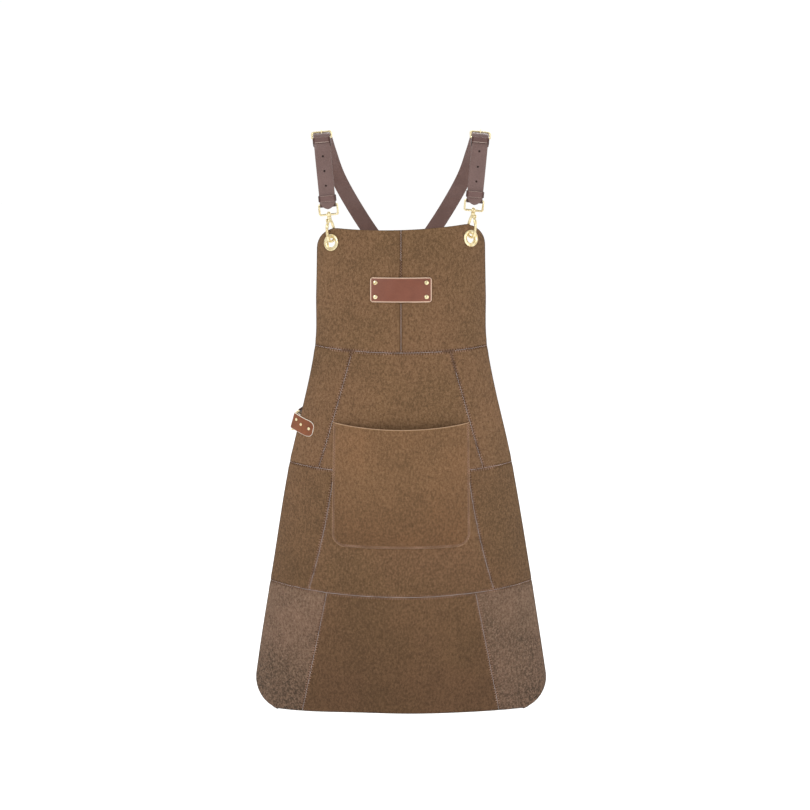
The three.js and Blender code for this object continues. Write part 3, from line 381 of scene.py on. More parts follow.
def rounded(profile, radius, steps=3):
    """A profile with its inner corners rounded off."""
    points = [profile[0]]
    for before, corner, after in zip(profile, profile[1:], profile[2:]):
        a, c, b = (np.array(p, float) for p in (before, corner, after))
        cut = min(radius, 0.45 * np.linalg.norm(a - c), 0.45 * np.linalg.norm(b - c))
        start, end = c + unit(a - c) * cut, c + unit(b - c) * cut
        for k in range(steps + 1):
            t = k / steps
            points.append(tuple((1 - t) ** 2 * start + 2 * t * (1 - t) * c + t * t * end))
    points.append(profile[-1])
    return points


def block(size, centre, matrix=np.eye(4)):
    """A plain box, used only to cut with or to fuse into a casting."""
    signs = [(-1, -1, -1), (1, -1, -1), (1, 1, -1), (-1, 1, -1), (-1, -1, 1), (1, -1, 1), (1, 1, 1), (-1, 1, 1)]
    vertices = np.array(signs, float) * np.array(size) / 2 + np.array(centre)
    faces = [[0, 3, 2, 1], [4, 5, 6, 7], [0, 1, 5, 4], [1, 2, 6, 5], [2, 3, 7, 6], [3, 0, 4, 7]]
    return transform(vertices, matrix), faces


def rod(radius, length, matrix, segments=32):
    """A straight round rod on local Z, centred."""
    return lathe([(0, -length / 2), (radius, -length / 2), (radius, length / 2), (0, length / 2)], segments, matrix)


def transform(vertices, matrix):
    m = np.array(matrix, float)
    return np.asarray(vertices, float) @ m[:3, :3].T + m[:3, 3]


def basis(x, y, z, origin):
    m = np.eye(4)
    m[:3, 0], m[:3, 1], m[:3, 2], m[:3, 3] = x, y, z, origin
    return m


def densify(stations, step):
    """Stations (point, out, width) spread evenly along a smooth curve through the given ones."""
    points = np.array([s[0] for s in stations], float)
    outs = unit(np.array([s[1] for s in stations], float))
    widths = np.array([[s[2]] for s in stations], float)
    run = distances(points)
    where = np.unique(np.concatenate([run, np.arange(0, run[-1], step)]))
    keep = np.concatenate([[True], np.diff(where) > step * 0.2])
    where = where[keep]
    k, t = segment(run, where)
    t = t[:, None]
    return list(zip(hermite(points, run, where), unit(outs[k] * (1 - t) + outs[k + 1] * t),
                    (widths[k] * (1 - t) + widths[k + 1] * t)[:, 0]))


def band(stations, thickness, closed=False, edge=0.6, crown=0.0):
    """A leather strip with rounded edges swept through (point, out, width) stations. Returns the vertices, the
    faces and how much each vertex belongs to the strip's cut edge."""
    points = np.array([s[0] for s in stations], float)
    outs = unit(np.array([s[1] for s in stations], float))
    widths = np.array([s[2] for s in stations], float)
    t = along_curve(points, closed)
    across = unit(np.cross(t, outs))
    normal = unit(np.cross(across, t))
    section, marks = [], []
    for corner, (sa, sn) in enumerate(((1, 1), (-1, 1), (-1, -1), (1, -1))):
        for angle in (0, 30, 60, 90) if corner in (0, 2) else (90, 60, 30, 0):
            a = math.radians(angle)
            section.append((sa, -edge + edge * math.cos(a), sn, -edge + edge * math.sin(a)))
            marks.append(1.0 if angle <= 60 else 0.0)
        if corner in (0, 2):
            for f in (0.5, 0.0, -0.5):
                section.append((sa * f, 0.0, sn, 0.0))
                marks.append(0.0)
    rings = []
    for side, inset, face, drop in section:
        a = side * (widths / 2) + math.copysign(1, side) * inset * (abs(side) == 1)
        n = face * (thickness / 2 + drop) + crown * (1 - abs(side) ** 2) * face
        rings.append(points + across * a[:, None] + normal * n)
    vertices = np.stack(rings, 1).reshape(-1, 3)
    sides = len(section)
    values = np.tile(marks, len(points))
    if not closed:
        values[:sides] = values[-sides:] = 1
    return vertices, wall_faces(len(points), sides, closed), values


def sheet_grid(left, right, top, bottom, us, vs):
    """Sideways places and heights of a grid between four edges, and the grid's own fractions."""
    u, v = np.meshgrid(us, vs)
    z = bottom(0.0) * v + top(0.0) * (1 - v)
    x = np.zeros_like(z)
    for _ in range(9):
        x = left(z) * (1 - u) + right(z) * u
        z = top(x) * (1 - v) + bottom(x) * v
    return x, z, u, v


def sheet(points, normals, thickness, edge_steps=4):
    """A sheet with half-round edges from a grid of middle points. Returns vertices, faces and edge marks."""
    rows, columns = points.shape[:2]
    r = thickness / 2
    loop = ([(0, c) for c in range(columns - 1)] + [(k, columns - 1) for k in range(rows - 1)]
            + [(rows - 1, c) for c in range(columns - 1, 0, -1)] + [(k, 0) for k in range(rows - 1, 0, -1)])
    rim = np.array([points[i] for i in loop])
    rim_normals = np.array([normals[i] for i in loop])
    tangents = along_curve(rim, True)
    outward = unit(np.cross(tangents, rim_normals))
    middle = points.reshape(-1, 3).mean(0)
    if np.mean(np.sum(outward * (rim - middle), 1)) < 0:
        outward = -outward
    front, back = points + normals * r, points - normals * r
    inset = rim - outward * r
    for i, place in enumerate(loop):
        front[place] = inset[i] + rim_normals[i] * r
        back[place] = inset[i] - rim_normals[i] * r
    vertices = [front.reshape(-1, 3), back.reshape(-1, 3)]
    size = rows * columns
    at = lambda side, place: side * size + place[0] * columns + place[1]
    faces = []
    for k in range(rows - 1):
        for c in range(columns - 1):
            quad = [(k, c), (k + 1, c), (k + 1, c + 1), (k, c + 1)]
            faces.append([at(0, q) for q in quad])
            faces.append([at(1, q) for q in reversed(quad)])
    count = len(loop)
    previous = [at(0, place) for place in loop]
    base = 2 * size
    for step in range(1, edge_steps):
        a = math.pi / 2 - math.pi * step / edge_steps
        vertices.append(inset + outward * r * math.cos(a) + rim_normals * r * math.sin(a))
        ring = [base + i for i in range(count)]
        base += count
        faces.extend([previous[i], previous[(i + 1) % count], ring[(i + 1) % count], ring[i]] for i in range(count))
        previous = ring
    last = [at(1, place) for place in loop]
    faces.extend([previous[i], previous[(i + 1) % count], last[(i + 1) % count], last[i]] for i in range(count))
    marks = np.zeros(base)
    marks[2 * size:] = 1
    return np.concatenate(vertices), faces, marks


# ---------------------------------------------------------------- materials


def srgb(*colour):
    """An sRGB colour of 0 to 255 as the linear colour that shaders take."""
    values = [c / 255 for c in colour]
    return [c / 12.92 if c <= 0.04045 else ((c + 0.055) / 1.055) ** 2.4 for c in values] + [1.0]


class Shader:
    """Builds one node material."""

    def __init__(self, name):
        self.material = bpy.data.materials.new(name)
        self.material.use_nodes = True
        self.tree = self.material.node_tree
        self.shader = self.tree.nodes["Principled BSDF"]
        self.coordinates = self.node("ShaderNodeTexCoord", {}).outputs["Object"]

    def fill(self, node, inputs):
        """Sets a node's inputs, each to a value or joined to another node's output."""
        for key, value in inputs.items():
            if isinstance(value, bpy.types.NodeSocket):
                self.tree.links.new(value, node.inputs[key])
            else:
                node.inputs[key].default_value = value
        return node

    def node(self, kind, inputs, **values):
        node = self.tree.nodes.new(kind)
        for key, value in values.items():
            setattr(node, key, value)
        return self.fill(node, inputs)

    def noise(self, scale, detail=3.0, roughness=0.55, stretch=None):
        source = self.coordinates
        if stretch:
            source = self.node("ShaderNodeMapping", {"Vector": source, "Scale": stretch}).outputs["Vector"]
        inputs = {"Vector": source, "Scale": scale, "Detail": detail, "Roughness": roughness}
        return self.node("ShaderNodeTexNoise", inputs).outputs["Fac"]

    def voronoi(self, scale):
        return self.node("ShaderNodeTexVoronoi", {"Vector": self.coordinates, "Scale": scale}).outputs["Distance"]

    def mark(self, name):
        return self.node("ShaderNodeAttribute", {}, attribute_name=name).outputs["Fac"]

    def ramp(self, source, low, high, start=0.0, end=1.0):
        inputs = {"Value": source, "From Min": low, "From Max": high, "To Min": start, "To Max": end}
        return self.node("ShaderNodeMapRange", inputs).outputs["Result"]

    def mix(self, factor, a, b, blend="MIX"):
        return self.node("ShaderNodeMix", {0: factor, 6: a, 7: b}, data_type="RGBA", blend_type=blend).outputs[2]

    def maths(self, operation, a, b):
        return self.node("ShaderNodeMath", {0: a, 1: b}, operation=operation).outputs["Value"]

    def tint(self, colour, other, mask, amount):
        """The colour turned towards another one by a share of a mask."""
        return self.mix(self.maths("MULTIPLY", mask, amount), colour, other)

    def bump(self, height, strength, distance, under=None):
        inputs = {"Height": height, "Strength": strength, "Distance": distance}
        if under is not None:
            inputs["Normal"] = under
        return self.node("ShaderNodeBump", inputs).outputs["Normal"]

    def finish(self, colour, roughness, normal=None, **sockets):
        inputs = {key.replace("_", " "): value for key, value in sockets.items()}
        inputs.update({"Base Color": colour, "Roughness": roughness})
        if normal is not None:
            inputs["Normal"] = normal
        self.fill(self.shader, inputs)
        return self.material


def suede(name, base, dark, light, edge, warm, grey=None, fade=None):
    """Napped split leather: cloudy colour, a mottled nap with a fine fibre speckle, pressed seams with painted shade,
    raw edges.
    fade is a top, a bottom and how much it darkens between them; grey is the scuffs' colour low on the skirt."""
    s = Shader(name)
    height = s.node("ShaderNodeSeparateXYZ", {"Vector": s.coordinates}).outputs["Z"]
    clouds = s.ramp(s.noise(8, 4, 0.6), 0.34, 0.68)
    patches = s.ramp(s.noise(27, 4, 0.6), 0.36, 0.66)
    mottle = s.noise(270, 4, 0.75, (1.0, 1.0, 0.7))
    fibre = s.noise(640, 2, 0.7)
    colour = s.tint(base, dark, clouds, 0.5)
    colour = s.tint(colour, warm, s.ramp(s.noise(6, 3, 0.5), 0.38, 0.62), 0.5)
    colour = s.tint(colour, dark, patches, 0.28)
    colour = s.tint(colour, light, s.ramp(mottle, 0.49, 0.66), 0.62)
    colour = s.tint(colour, dark, s.ramp(mottle, 0.51, 0.35), 0.80)
    if grey:
        low = s.ramp(height, -0.84, -1.04)
        patch = s.ramp(s.noise(15, 4, 0.65), 0.38, 0.66)
        pepper = s.ramp(s.noise(230, 3, 0.75), 0.43, 0.60)
        worn = s.maths("ADD", s.maths("MULTIPLY", low, 0.95), s.maths("MULTIPLY", patch, 0.7))
        spots = s.maths("MULTIPLY", worn, pepper)
        colour = s.tint(colour, grey, spots, 0.8)
    colour = s.tint(colour, light, s.ramp(fibre, 0.48, 0.68), 0.30)
    colour = s.tint(colour, dark, s.ramp(fibre, 0.52, 0.32), 0.38)
    if fade:
        top, bottom, amount = fade
        colour = s.mix(s.ramp(height, top, bottom, 0.0, amount), colour, s.mix(1.0, colour, dark, "MULTIPLY"))
    # Pressed bands are tinted between the dark and the edge colour: painted shade in the panels' seam creases,
    # slightly lighter on the pocket.
    colour = s.mix(s.ramp(s.mark("press_and_shade"), 0.2, 1.0, 0.0, 0.9), colour, s.mix(0.3, dark, edge))
    colour = s.mix(s.mark("edge"), colour, edge)
    colour = s.mix(s.ramp(s.mark("rim"), 0.6, 0.92, 0.0, 0.8), colour, edge)
    normal = s.bump(s.noise(46, 3, 0.6), 0.35, 0.0016)
    normal = s.bump(mottle, 0.5, 0.0012, normal)
    normal = s.bump(fibre, 0.55, 0.0007, normal)
    return s.finish(colour, 0.95, normal, Sheen_Weight=0.10, Sheen_Roughness=0.5, Specular_IOR_Level=0.12)


def smooth_leather(name, base, dark, edge, roughness=0.42, coat=0.0, wear=0.35, side=None):
    """Dressed leather: fine pores, faint long streaks, an edge of its own colour."""
    s = Shader(name)
    streaks = s.ramp(s.noise(36, 4, 0.6), 0.35, 0.68)
    pores = s.voronoi(1150)
    colour = s.mix(s.maths("MULTIPLY", streaks, wear), base, dark)
    fine = s.noise(420, 3, 0.6)
    colour = s.tint(colour, dark, s.ramp(fine, 0.4, 0.7), 0.22)
    # side is the leather's own dark red-brown, shown where the faces' painted sheen is left off.
    if side:
        colour = s.mix(s.mark("side"), colour, side)
    colour = s.mix(s.mark("edge"), colour, edge)
    normal = s.bump(s.noise(90, 3, 0.5), 0.2, 0.0006)
    normal = s.bump(pores, 0.25, 0.0003, normal)
    rough = s.ramp(s.noise(120, 3, 0.6), 0.3, 0.7, roughness - 0.07, roughness + 0.1)
    return s.finish(colour, rough, normal, Coat_Weight=coat, Coat_Roughness=0.25, Specular_IOR_Level=0.45)


def antique_brass(name):
    """Cast brass with a dark tarnish in patches and small tumbling marks."""
    s = Shader(name)
    tarnish = s.ramp(s.noise(130, 4, 0.6), 0.48, 0.68)
    spots = s.ramp(s.noise(520, 3, 0.6), 0.56, 0.70)
    colour = s.mix(tarnish, srgb(240, 226, 184), srgb(206, 182, 130))
    colour = s.tint(colour, srgb(104, 84, 52), spots, 0.28)
    rough = s.ramp(s.noise(260, 3, 0.6), 0.3, 0.7, 0.27, 0.42)
    normal = s.bump(s.noise(700, 2, 0.5), 0.08, 0.0002)
    return s.finish(colour, rough, normal, Metallic=1.0)


def thread_material():
    """Twisted sewing thread."""
    s = Shader("thread")
    twist = s.node("ShaderNodeTexWave", {"Vector": s.coordinates, "Scale": 900, "Distortion": 1.5},
                   wave_type="BANDS", bands_direction="DIAGONAL").outputs["Fac"]
    worn = s.ramp(s.noise(38, 3, 0.6), 0.36, 0.66)
    colour = s.mix(worn, srgb(172, 136, 114), srgb(122, 93, 76))
    colour = s.tint(colour, srgb(105, 80, 66), twist, 0.25)
    return s.finish(colour, 0.85, s.bump(twist, 0.4, 0.0002), Specular_IOR_Level=0.2)


SUEDE = suede("suede", srgb(119, 91, 63), srgb(84, 63, 43), srgb(142, 110, 82), srgb(66, 44, 26),
              srgb(132, 97, 72), fade=(-0.62, -1.0, 0.46))
# A darker copy of the suede for the skirt's side panels: painted shade where the flanks turn away from the light.
SUEDE_FLANK_SHADED = suede("suede_flank_painted_shade", srgb(113, 86, 59), srgb(80, 60, 41), srgb(136, 105, 77),
                    srgb(66, 44, 26), srgb(125, 92, 67), fade=(-0.62, -1.0, 0.40))
SUEDE_HEM = suede("suede_hem", srgb(120, 95, 77), srgb(88, 69, 53), srgb(150, 125, 104),
                  srgb(66, 48, 33), srgb(130, 100, 84), srgb(50, 40, 30), fade=(-0.86, -1.03, 0.14))
SUEDE_POCKET = suede("suede_pocket", srgb(124, 93, 65), srgb(92, 69, 47), srgb(146, 112, 82),
                     srgb(196, 160, 126), srgb(138, 99, 68), fade=(-0.58, -0.73, 0.34))
# Strap and keeper faces are pale mauve: a painted sheen over dark red-brown leather.
STRAP = smooth_leather("strap_leather", srgb(112, 88, 83), srgb(84, 62, 56), srgb(92, 62, 50), 0.40, 0.08)
KEEPER = smooth_leather("keeper_leather", srgb(106, 80, 75), srgb(78, 52, 45), srgb(178, 158, 148),
                        0.36, 0.10, side=srgb(64, 30, 20))
TAB = smooth_leather("tab_leather", srgb(132, 72, 34), srgb(76, 36, 18), srgb(240, 230, 214), 0.5)
LABEL = smooth_leather("label_leather", srgb(125, 72, 52), srgb(96, 52, 37), srgb(214, 182, 158), 0.42,
                       0.05)
BRASS = antique_brass("antique_brass")
THREAD_LOOK = thread_material()

# ---------------------------------------------------------------- leather body


def even(low, high, step):
    return np.linspace(low, high, max(2, int(round(abs(high - low) / step)) + 1))


def row_places(height, top_corner=0, bottom_corner=0, step=GRID):
    """Fractions down a piece, closer together where its corners are rounded."""
    middle = even(top_corner, height - bottom_corner, step)
    bends = np.cos(np.linspace(0, math.pi / 2, 10))[1:]
    top = top_corner * (1 - bends) if top_corner else np.array([])
    low = height - bottom_corner * (1 - bends) if bottom_corner else np.array([])
    return np.unique(np.round(np.concatenate([[0], top, middle, low, [height]]), 3)) / height


def near(gaps, edges, centre, width):
    """One at a distance from these edges, fading to nothing away from it."""
    return sum((np.exp(-((gaps[edge] - centre) / width) ** 2) for edge in edges), 0.0)


def panel(name, left, right, top, bottom, seams, material, width, rows):
    """One leather panel. seams names the edges that are sewn to a neighbour."""
    x, z = sheet_grid(left, right, top, bottom, even(0, 1, GRID / width), rows)[:2]
    gaps = {"left": np.abs(x - left(z)), "right": np.abs(x - right(z)),
            "top": np.abs(z - top(x)), "bottom": np.abs(z - bottom(x))}
    pressed_in, puffed_out = np.minimum(near(gaps, seams, 0, 4.6), 1), near(gaps, seams, 11, 6.0)
    vertices, faces, edge = sheet(leather_point(x, z, 0.30 * puffed_out - 0.45 * pressed_in),
                                  drape_normal(x, z), LEATHER)
    if len(seams) == len(gaps):
        edge = edge * 0
    seam_shade, rim = np.zeros(len(vertices)), np.zeros(len(vertices))
    # Painted shade in the seams' pressed crease, for the material to darken.
    seam_shade[:x.size] = np.minimum(near(gaps, seams, 0, 2.8), 1).ravel()
    for raw in (side for side in gaps if side not in seams):
        rim[:x.size] = np.maximum(rim[:x.size], gaps[raw].ravel() < 0.5)
    piece = make_piece(name, vertices, faces, material,
                       marks={"edge": edge, "press_and_shade": seam_shade, "rim": rim}, sharp=180)
    leather_point(x, z)
    return piece


def shifted(seam, amount):
    return lambda x: seam(x) + amount


def mirrored(seam, sign, shift=0.0):
    return lambda z: sign * (seam(z) + shift)


def seat(x, z, offset):
    """The placement of a piece seated on the leather: local Z outward, local Y up."""
    outward = drape_normal(np.float64(x), np.float64(z))
    right = unit(np.cross((0, 0, 1), outward))
    return basis(right, np.cross(outward, right), outward, leather_point(x, z, offset))


def eyelet_seat(sign):
    return seat(sign * EYELET_X, EYELET_Z + BIB_TILT * sign * EYELET_X, 0)


def add_bib():
    for name, sign in SIDES.items():
        edge, centre = side_edge(sign), lambda z, s=sign: s * SEAM_HALF_GAP + 0 * z
        left, right = (edge, centre) if sign < 0 else (centre, edge)
        piece = panel(f"bib_panel_{name}", left, right, bib_top, shifted(bib_seam, SEAM_HALF_GAP),
                      ["right" if sign < 0 else "left", "bottom"], SUEDE, 150,
                      row_places(BIB_TOP - SEAM_BIB, top_corner=BIB_CORNER))
        cut_holes(piece, [rod(EYELET_BORE + 1.4, 12, eyelet_seat(sign), 48)])


def add_row(row, seam, top, bottom, side_material, centre_width, side_width):
    """A centre panel and two side panels, hanging from the row over them. Only the hem row's bottom is raw."""
    hem = row == "hem"
    rows = row_places(ROW_HEIGHT, bottom_corner=HEM_CORNER if hem else 0)
    top = shifted(top, -SEAM_HALF_GAP)
    bottom = bottom if hem else shifted(bottom, SEAM_HALF_GAP)
    level = ["top"] if hem else ["top", "bottom"]
    panel(f"{row}_panel_centre", mirrored(seam, -1, -SEAM_HALF_GAP), mirrored(seam, 1, -SEAM_HALF_GAP), top, bottom,
          ["left", "right"] + level, SUEDE, centre_width, rows)
    for name, sign in SIDES.items():
        inner = mirrored(seam, sign, SEAM_HALF_GAP)
        left, right = (side_edge(-1), inner) if sign < 0 else (inner, side_edge(1))
        panel(f"{row}_panel_{name}", left, right, top, bottom,
              ["right" if sign < 0 else "left"] + level, side_material, side_width, rows)


def pocket_half(z):
    t = (POCKET_TOP - z) / (POCKET_TOP - POCKET_BOTTOM)
    return POCKET_HALF + POCKET_FLARE * t - corner_inset(z - POCKET_BOTTOM, POCKET_CORNER)


def pocket_top(x):
    return POCKET_TOP - POCKET_SAG * (1 - (x / POCKET_HALF) ** 2)


def pocket_offset(u, v):
    stand = LEATHER / 2 + GAP + LEATHER / 2
    pouch = POCKET_POUCH * np.sin(np.pi * np.clip(u, 0, 1)) ** 0.8 * (1 - v**4) * (1 - 0.35 * v)
    return stand + pouch


def add_pocket():
    height = POCKET_TOP - POCKET_BOTTOM
    rows = np.sort(np.append(row_places(height, bottom_corner=POCKET_CORNER), np.array([0.5, 1.1, 1.8]) / height))
    x, z, u, v = sheet_grid(lambda z: -pocket_half(z), pocket_half, pocket_top,
                            lambda x: POCKET_BOTTOM + 0 * x, even(0, 1, GRID / POCKET_SPAN), rows)
    side = np.minimum(np.abs(pocket_half(z) - np.abs(x)), np.abs(z - POCKET_BOTTOM))
    press_and_shade = np.exp(-(np.maximum(side - 3, 0) / 4.0) ** 2)
    points = leather_point(x, z, pocket_offset(u, v) - 0.25 * press_and_shade)
    vertices, faces, marks = sheet(points, drape_normal(x, z), LEATHER)
    marks[:x.size] = 1 - smoothstep(((pocket_top(x) - z).ravel() - 0.5) / 1.2)
    # Half the press, for the material's press tint; on the pocket it comes out slightly lighter than the leather.
    pressed = np.zeros(len(vertices))
    pressed[:x.size] = press_and_shade.ravel() * 0.5
    piece = make_piece("pocket", vertices, faces, SUEDE_POCKET,
                       marks={"edge": marks, "press_and_shade": pressed}, sharp=180)


def add_label():
    top, bottom = LABEL_Z + LABEL_HEIGHT / 2, LABEL_Z - LABEL_HEIGHT / 2
    half = lambda z: LABEL_HALF - corner_inset(np.minimum(top - z, z - bottom), LABEL_CORNER)
    rows = row_places(LABEL_HEIGHT, LABEL_CORNER, LABEL_CORNER, LABEL_GRID)
    x, z = sheet_grid(lambda z: -half(z), half, lambda x: top + 0 * x, lambda x: bottom + 0 * x,
                      even(0, 1, LABEL_GRID / (2 * LABEL_HALF)), rows)[:2]
    offset = LEATHER / 2 + GAP + LABEL_LEATHER / 2
    inside = np.minimum(half(z) - np.abs(x), LABEL_HEIGHT / 2 - np.abs(z - LABEL_Z))
    line = np.exp(-((inside - 3.4) / 0.9) ** 2)
    vertices, faces, marks = sheet(leather_point(x, z, offset - 0.3 * line), drape_normal(x, z), LABEL_LEATHER)
    marks[:x.size] = np.maximum(marks[:x.size], 1 - smoothstep((inside.ravel() - 1.4) / 1.2))
    make_piece("label_plate", vertices, faces, LABEL, marks={"edge": marks}, sharp=180)


# ---------------------------------------------------------------- rivets and grommets


def rivet(name, matrix, grip, scale=1.0):
    """A domed head outside, a flat washer-like tail behind, and the shank between them."""
    head, front, back = 3.9 * scale, grip / 2 + GAP, -grip / 2 - 2 * GAP
    profile = [(0, back - 0.8), (3.4 * scale, back - 0.8), (3.4 * scale, back), (1.5, back), (1.5, front),
               (head, front), (head, front + 0.35), (head * 0.93, front + 0.8), (head * 0.72, front + 1.3),
               (head * 0.4, front + 1.6), (0, front + 1.7)]
    make_brass(name, [lathe(rounded(profile, 0.25, 2), 32)], matrix, sharp=45)


def add_eyelet(name, sign):
    face, back = LEATHER / 2 + GAP, -(LEATHER / 2 + 1.3)
    rim, barrel, bore, flange = back - 0.7, 8.9, EYELET_BORE, EYELET_FLANGE
    section = [(bore, rim), (barrel, rim), (barrel, face), (flange, face), (flange, face + 0.55),
               (flange - 0.5, face + 1.15), (flange - 1.6, face + 1.6), (flange - 3.0, face + 1.7),
               (bore + 2.0, face + 1.6), (bore + 0.9, face + 1.2), (bore + 0.25, face + 0.5), (bore, face)]
    make_brass(f"eyelet_{name}", [lathe(section, 72)], eyelet_seat(sign), sharp=60)
    washer = rounded([(barrel + 0.6, back - 0.5), (flange - 2.6, back - 0.5), (flange - 2.6, back),
                      (barrel + 0.6, back)], 0.2)
    make_brass(f"eyelet_washer_{name}", [lathe(washer, 72)], eyelet_seat(sign))


def add_label_rivets():
    grip = LEATHER + GAP + LABEL_LEATHER
    places = [(sx * 44, LABEL_Z + sz * 12.2) for sx in (-1, 1) for sz in (1, -1)]
    for k, (x, z) in enumerate(places):
        rivet(f"label_rivet_{k + 1}", seat(x, z, (GAP + LABEL_LEATHER) / 2), grip)


# ---------------------------------------------------------------- seam stitching


def along_path(path, where):
    """Points and unit normals at distances along a path of surface points and normals."""
    run = distances(path[0])
    points, normals = (np.stack([np.interp(where, run, values[:, i]) for i in range(3)], 1) for values in path)
    return points, unit(normals)


def zigzag(path, half, leg, radius):
    """Thread laid to and fro across a seam, dipping into the leather at each turn."""
    run = distances(path[0])
    legs = max(2, int(run[-1] / leg))
    share = np.array([0.0, 0.12, 0.5, 0.88])
    where = np.append((np.arange(legs)[:, None] + share).ravel() / legs, 1.0) * run[-1]
    points, normals = along_path(path, where)
    across = unit(np.cross(normals, along_curve(points)))
    wave = 1 - 2 * np.abs((where / run[-1] * legs % 2) - 1)
    height = radius * np.where(np.abs(wave) > 0.97, -0.7, 0.75)
    reach = np.interp(where, run, np.broadcast_to(half, run.shape))
    return points + across * (wave * reach)[:, None] + normals * height[:, None]


def running_stitch(path, radius, length=3.2):
    """Thread going in and out of a surface along a path."""
    run = distances(path[0])
    count = max(2, int(run[-1] / length))
    share = np.array([0.0, 0.12, 0.5, 0.7, 0.82])
    lift = np.array([-0.4, 0.55, 0.7, 0.55, -0.5])
    points, normals = along_path(path, ((np.arange(count)[:, None] + share).ravel() / count) * run[-1])
    return points + normals * (np.tile(lift, count) * radius)[:, None]


def surface_path(x, z, offset):
    return leather_point(x, z, offset), drape_normal(np.asarray(x, float), np.asarray(z, float))


def add_stitches():
    face = LEATHER / 2 - 0.4
    lines, widths = {}, {}
    steps = np.linspace(0, 1, 160)
    for name, seam, level in (("bib", bib_seam, SEAM_BIB), ("hip", hip_seam, SEAM_HIP), ("hem", hem_seam, SEAM_HEM)):
        spread = 2 * steps - 1
        x = spread * (half_width(level) - 2.5)
        lines[f"stitch_{name}_seam"] = surface_path(x, seam(x), face)
        widths[f"stitch_{name}_seam"] = STITCH_HALF * (1 - 0.72 * smoothstep((np.abs(spread) - 0.80) / 0.08))
    z = bib_top(0.0) - 3 + (bib_seam(0.0) + 6 - bib_top(0.0)) * steps
    lines["stitch_bib_centre"] = surface_path(0 * z, z, face)
    rows = (("waist", waist_seam, bib_seam, hip_seam), ("skirt", skirt_seam, hip_seam, hem_seam),
            ("hem_row", hem_row_seam, hem_seam, hem_line))
    for name, seam, top, bottom in rows:
        for side, sign in SIDES.items():
            high, low = top(seam(top(0.0))) - 4, bottom(seam(bottom(0.0))) + 4
            z = high + (low - high) * steps
            lines[f"stitch_{name}_{side}"] = surface_path(sign * seam(z), z, face)
    for name, path in lines.items():
        fine = name == "stitch_bib_centre"
        half, radius = (1.6, 0.4) if fine else (widths.get(name, STITCH_HALF), THREAD)
        make_thread(name, zigzag(path, half, STITCH_LEG, radius), radius)
    add_pocket_stitches(steps)


def add_pocket_stitches(steps):
    """Overedge stitching round the pocket's sides and bottom."""
    inset = 3.2
    side_top = pocket_top(POCKET_HALF) - 3
    side_z = side_top - (side_top - POCKET_BOTTOM - POCKET_CORNER) * steps
    turn = steps[1:] * math.pi / 2
    radius = POCKET_CORNER - inset
    corner_x = POCKET_HALF + POCKET_FLARE - POCKET_CORNER
    corner_z = POCKET_BOTTOM + POCKET_CORNER
    x = np.concatenate([-(pocket_half(side_z) - inset), -corner_x - radius * np.cos(turn)])
    z = np.concatenate([side_z, corner_z - radius * np.sin(turn)])
    level_x = np.linspace(-corner_x, corner_x, 120)[1:-1]
    x = np.concatenate([x, level_x, -x[::-1]])
    z = np.concatenate([z, np.full(len(level_x), POCKET_BOTTOM + inset), z[::-1]])
    half = pocket_half(np.maximum(z, POCKET_BOTTOM + POCKET_CORNER))
    u = (x + half) / (2 * half)
    v = (pocket_top(x) - z) / (pocket_top(x) - POCKET_BOTTOM)
    offset = pocket_offset(u, v) + LEATHER / 2 - 0.25
    make_thread("stitch_pocket", zigzag(surface_path(x, z, offset), 2.0, STITCH_LEG, STRONG_THREAD), STRONG_THREAD)


# ---------------------------------------------------------------- shoulder straps

STRAP_LINE_Y = float(drape_y(np.float64(EYELET_X), np.float64(EYELET_Z))) + 0.4
UNDER_Y = STRAP_LINE_Y + LOOP_MID
ARC_Y, ARC_Z = UNDER_Y + SHOULDER_RADIUS, -SHOULDER_RADIUS
SHOULDER_X = EYELET_X - EYELET_Z * math.tan(LEAN)
HEEL_RADIUS, NOSE_RADIUS = SHOULDER_RADIUS + LOOP_MID, SHOULDER_RADIUS + NOSE_OFFSET
NOSE_ANGLE = HEEL_ANGLE + math.acos(
    (NOSE_RADIUS**2 + HEEL_RADIUS**2 - BUCKLE_LENGTH**2) / (2 * NOSE_RADIUS * HEEL_RADIUS))
ARC_LENGTH = SHOULDER_RADIUS * math.pi / 2
HEEL_RUN = SHOULDER_RADIUS * (math.pi / 2 - HEEL_ANGLE)
NOSE_RUN = SHOULDER_RADIUS * (math.pi / 2 - NOSE_ANGLE)


def on_strap(run, offset):
    """(y, z, angle) beside the strap's underside: run is forward from the shoulder top."""
    if run <= 0:
        return ARC_Y - run, offset, math.pi / 2
    if run >= ARC_LENGTH:
        return UNDER_Y - offset, ARC_Z - (run - ARC_LENGTH), 0.0
    angle = math.pi / 2 - run / SHOULDER_RADIUS
    reach = SHOULDER_RADIUS + offset
    return ARC_Y - reach * math.cos(angle), ARC_Z + reach * math.sin(angle), angle


def run_at(z):
    return ARC_LENGTH + ARC_Z - z


def shoulder_matrix(sign):
    psi = sign * LEAN
    return basis((math.cos(psi), 0, -math.sin(psi)), (0, 1, 0), (math.sin(psi), 0, math.cos(psi)),
                 (sign * SHOULDER_X, 0, 0))


def strap_drop(sign):
    return -BIB_TILT * sign * EYELET_X


def eye_run(sign):
    return run_at(-EYE_BELOW + EYE_HEIGHT) + strap_drop(sign)


def facing(angle):
    return np.array((0, -math.cos(angle), math.sin(angle)))


def buckle_frame_matrix():
    """Local Y from the heel bar to the nose, local X across."""
    hy, hz, _ = on_strap(HEEL_RUN, LOOP_MID)
    ny, nz, _ = on_strap(NOSE_RUN, NOSE_OFFSET)
    along = unit((0, ny - hy, nz - hz))
    return basis((1, 0, 0), along, np.cross((1, 0, 0), along), (0, hy, hz))


def chape_half(distance):
    loop, shoulder = LOOP_BORE + STRAP_LEATHER, 3
    if distance < shoulder:
        return math.sqrt(loop**2 - distance**2)
    return max(STRAP_LEATHER, math.sqrt(loop**2 - shoulder**2) - 0.16 * (distance - shoulder))


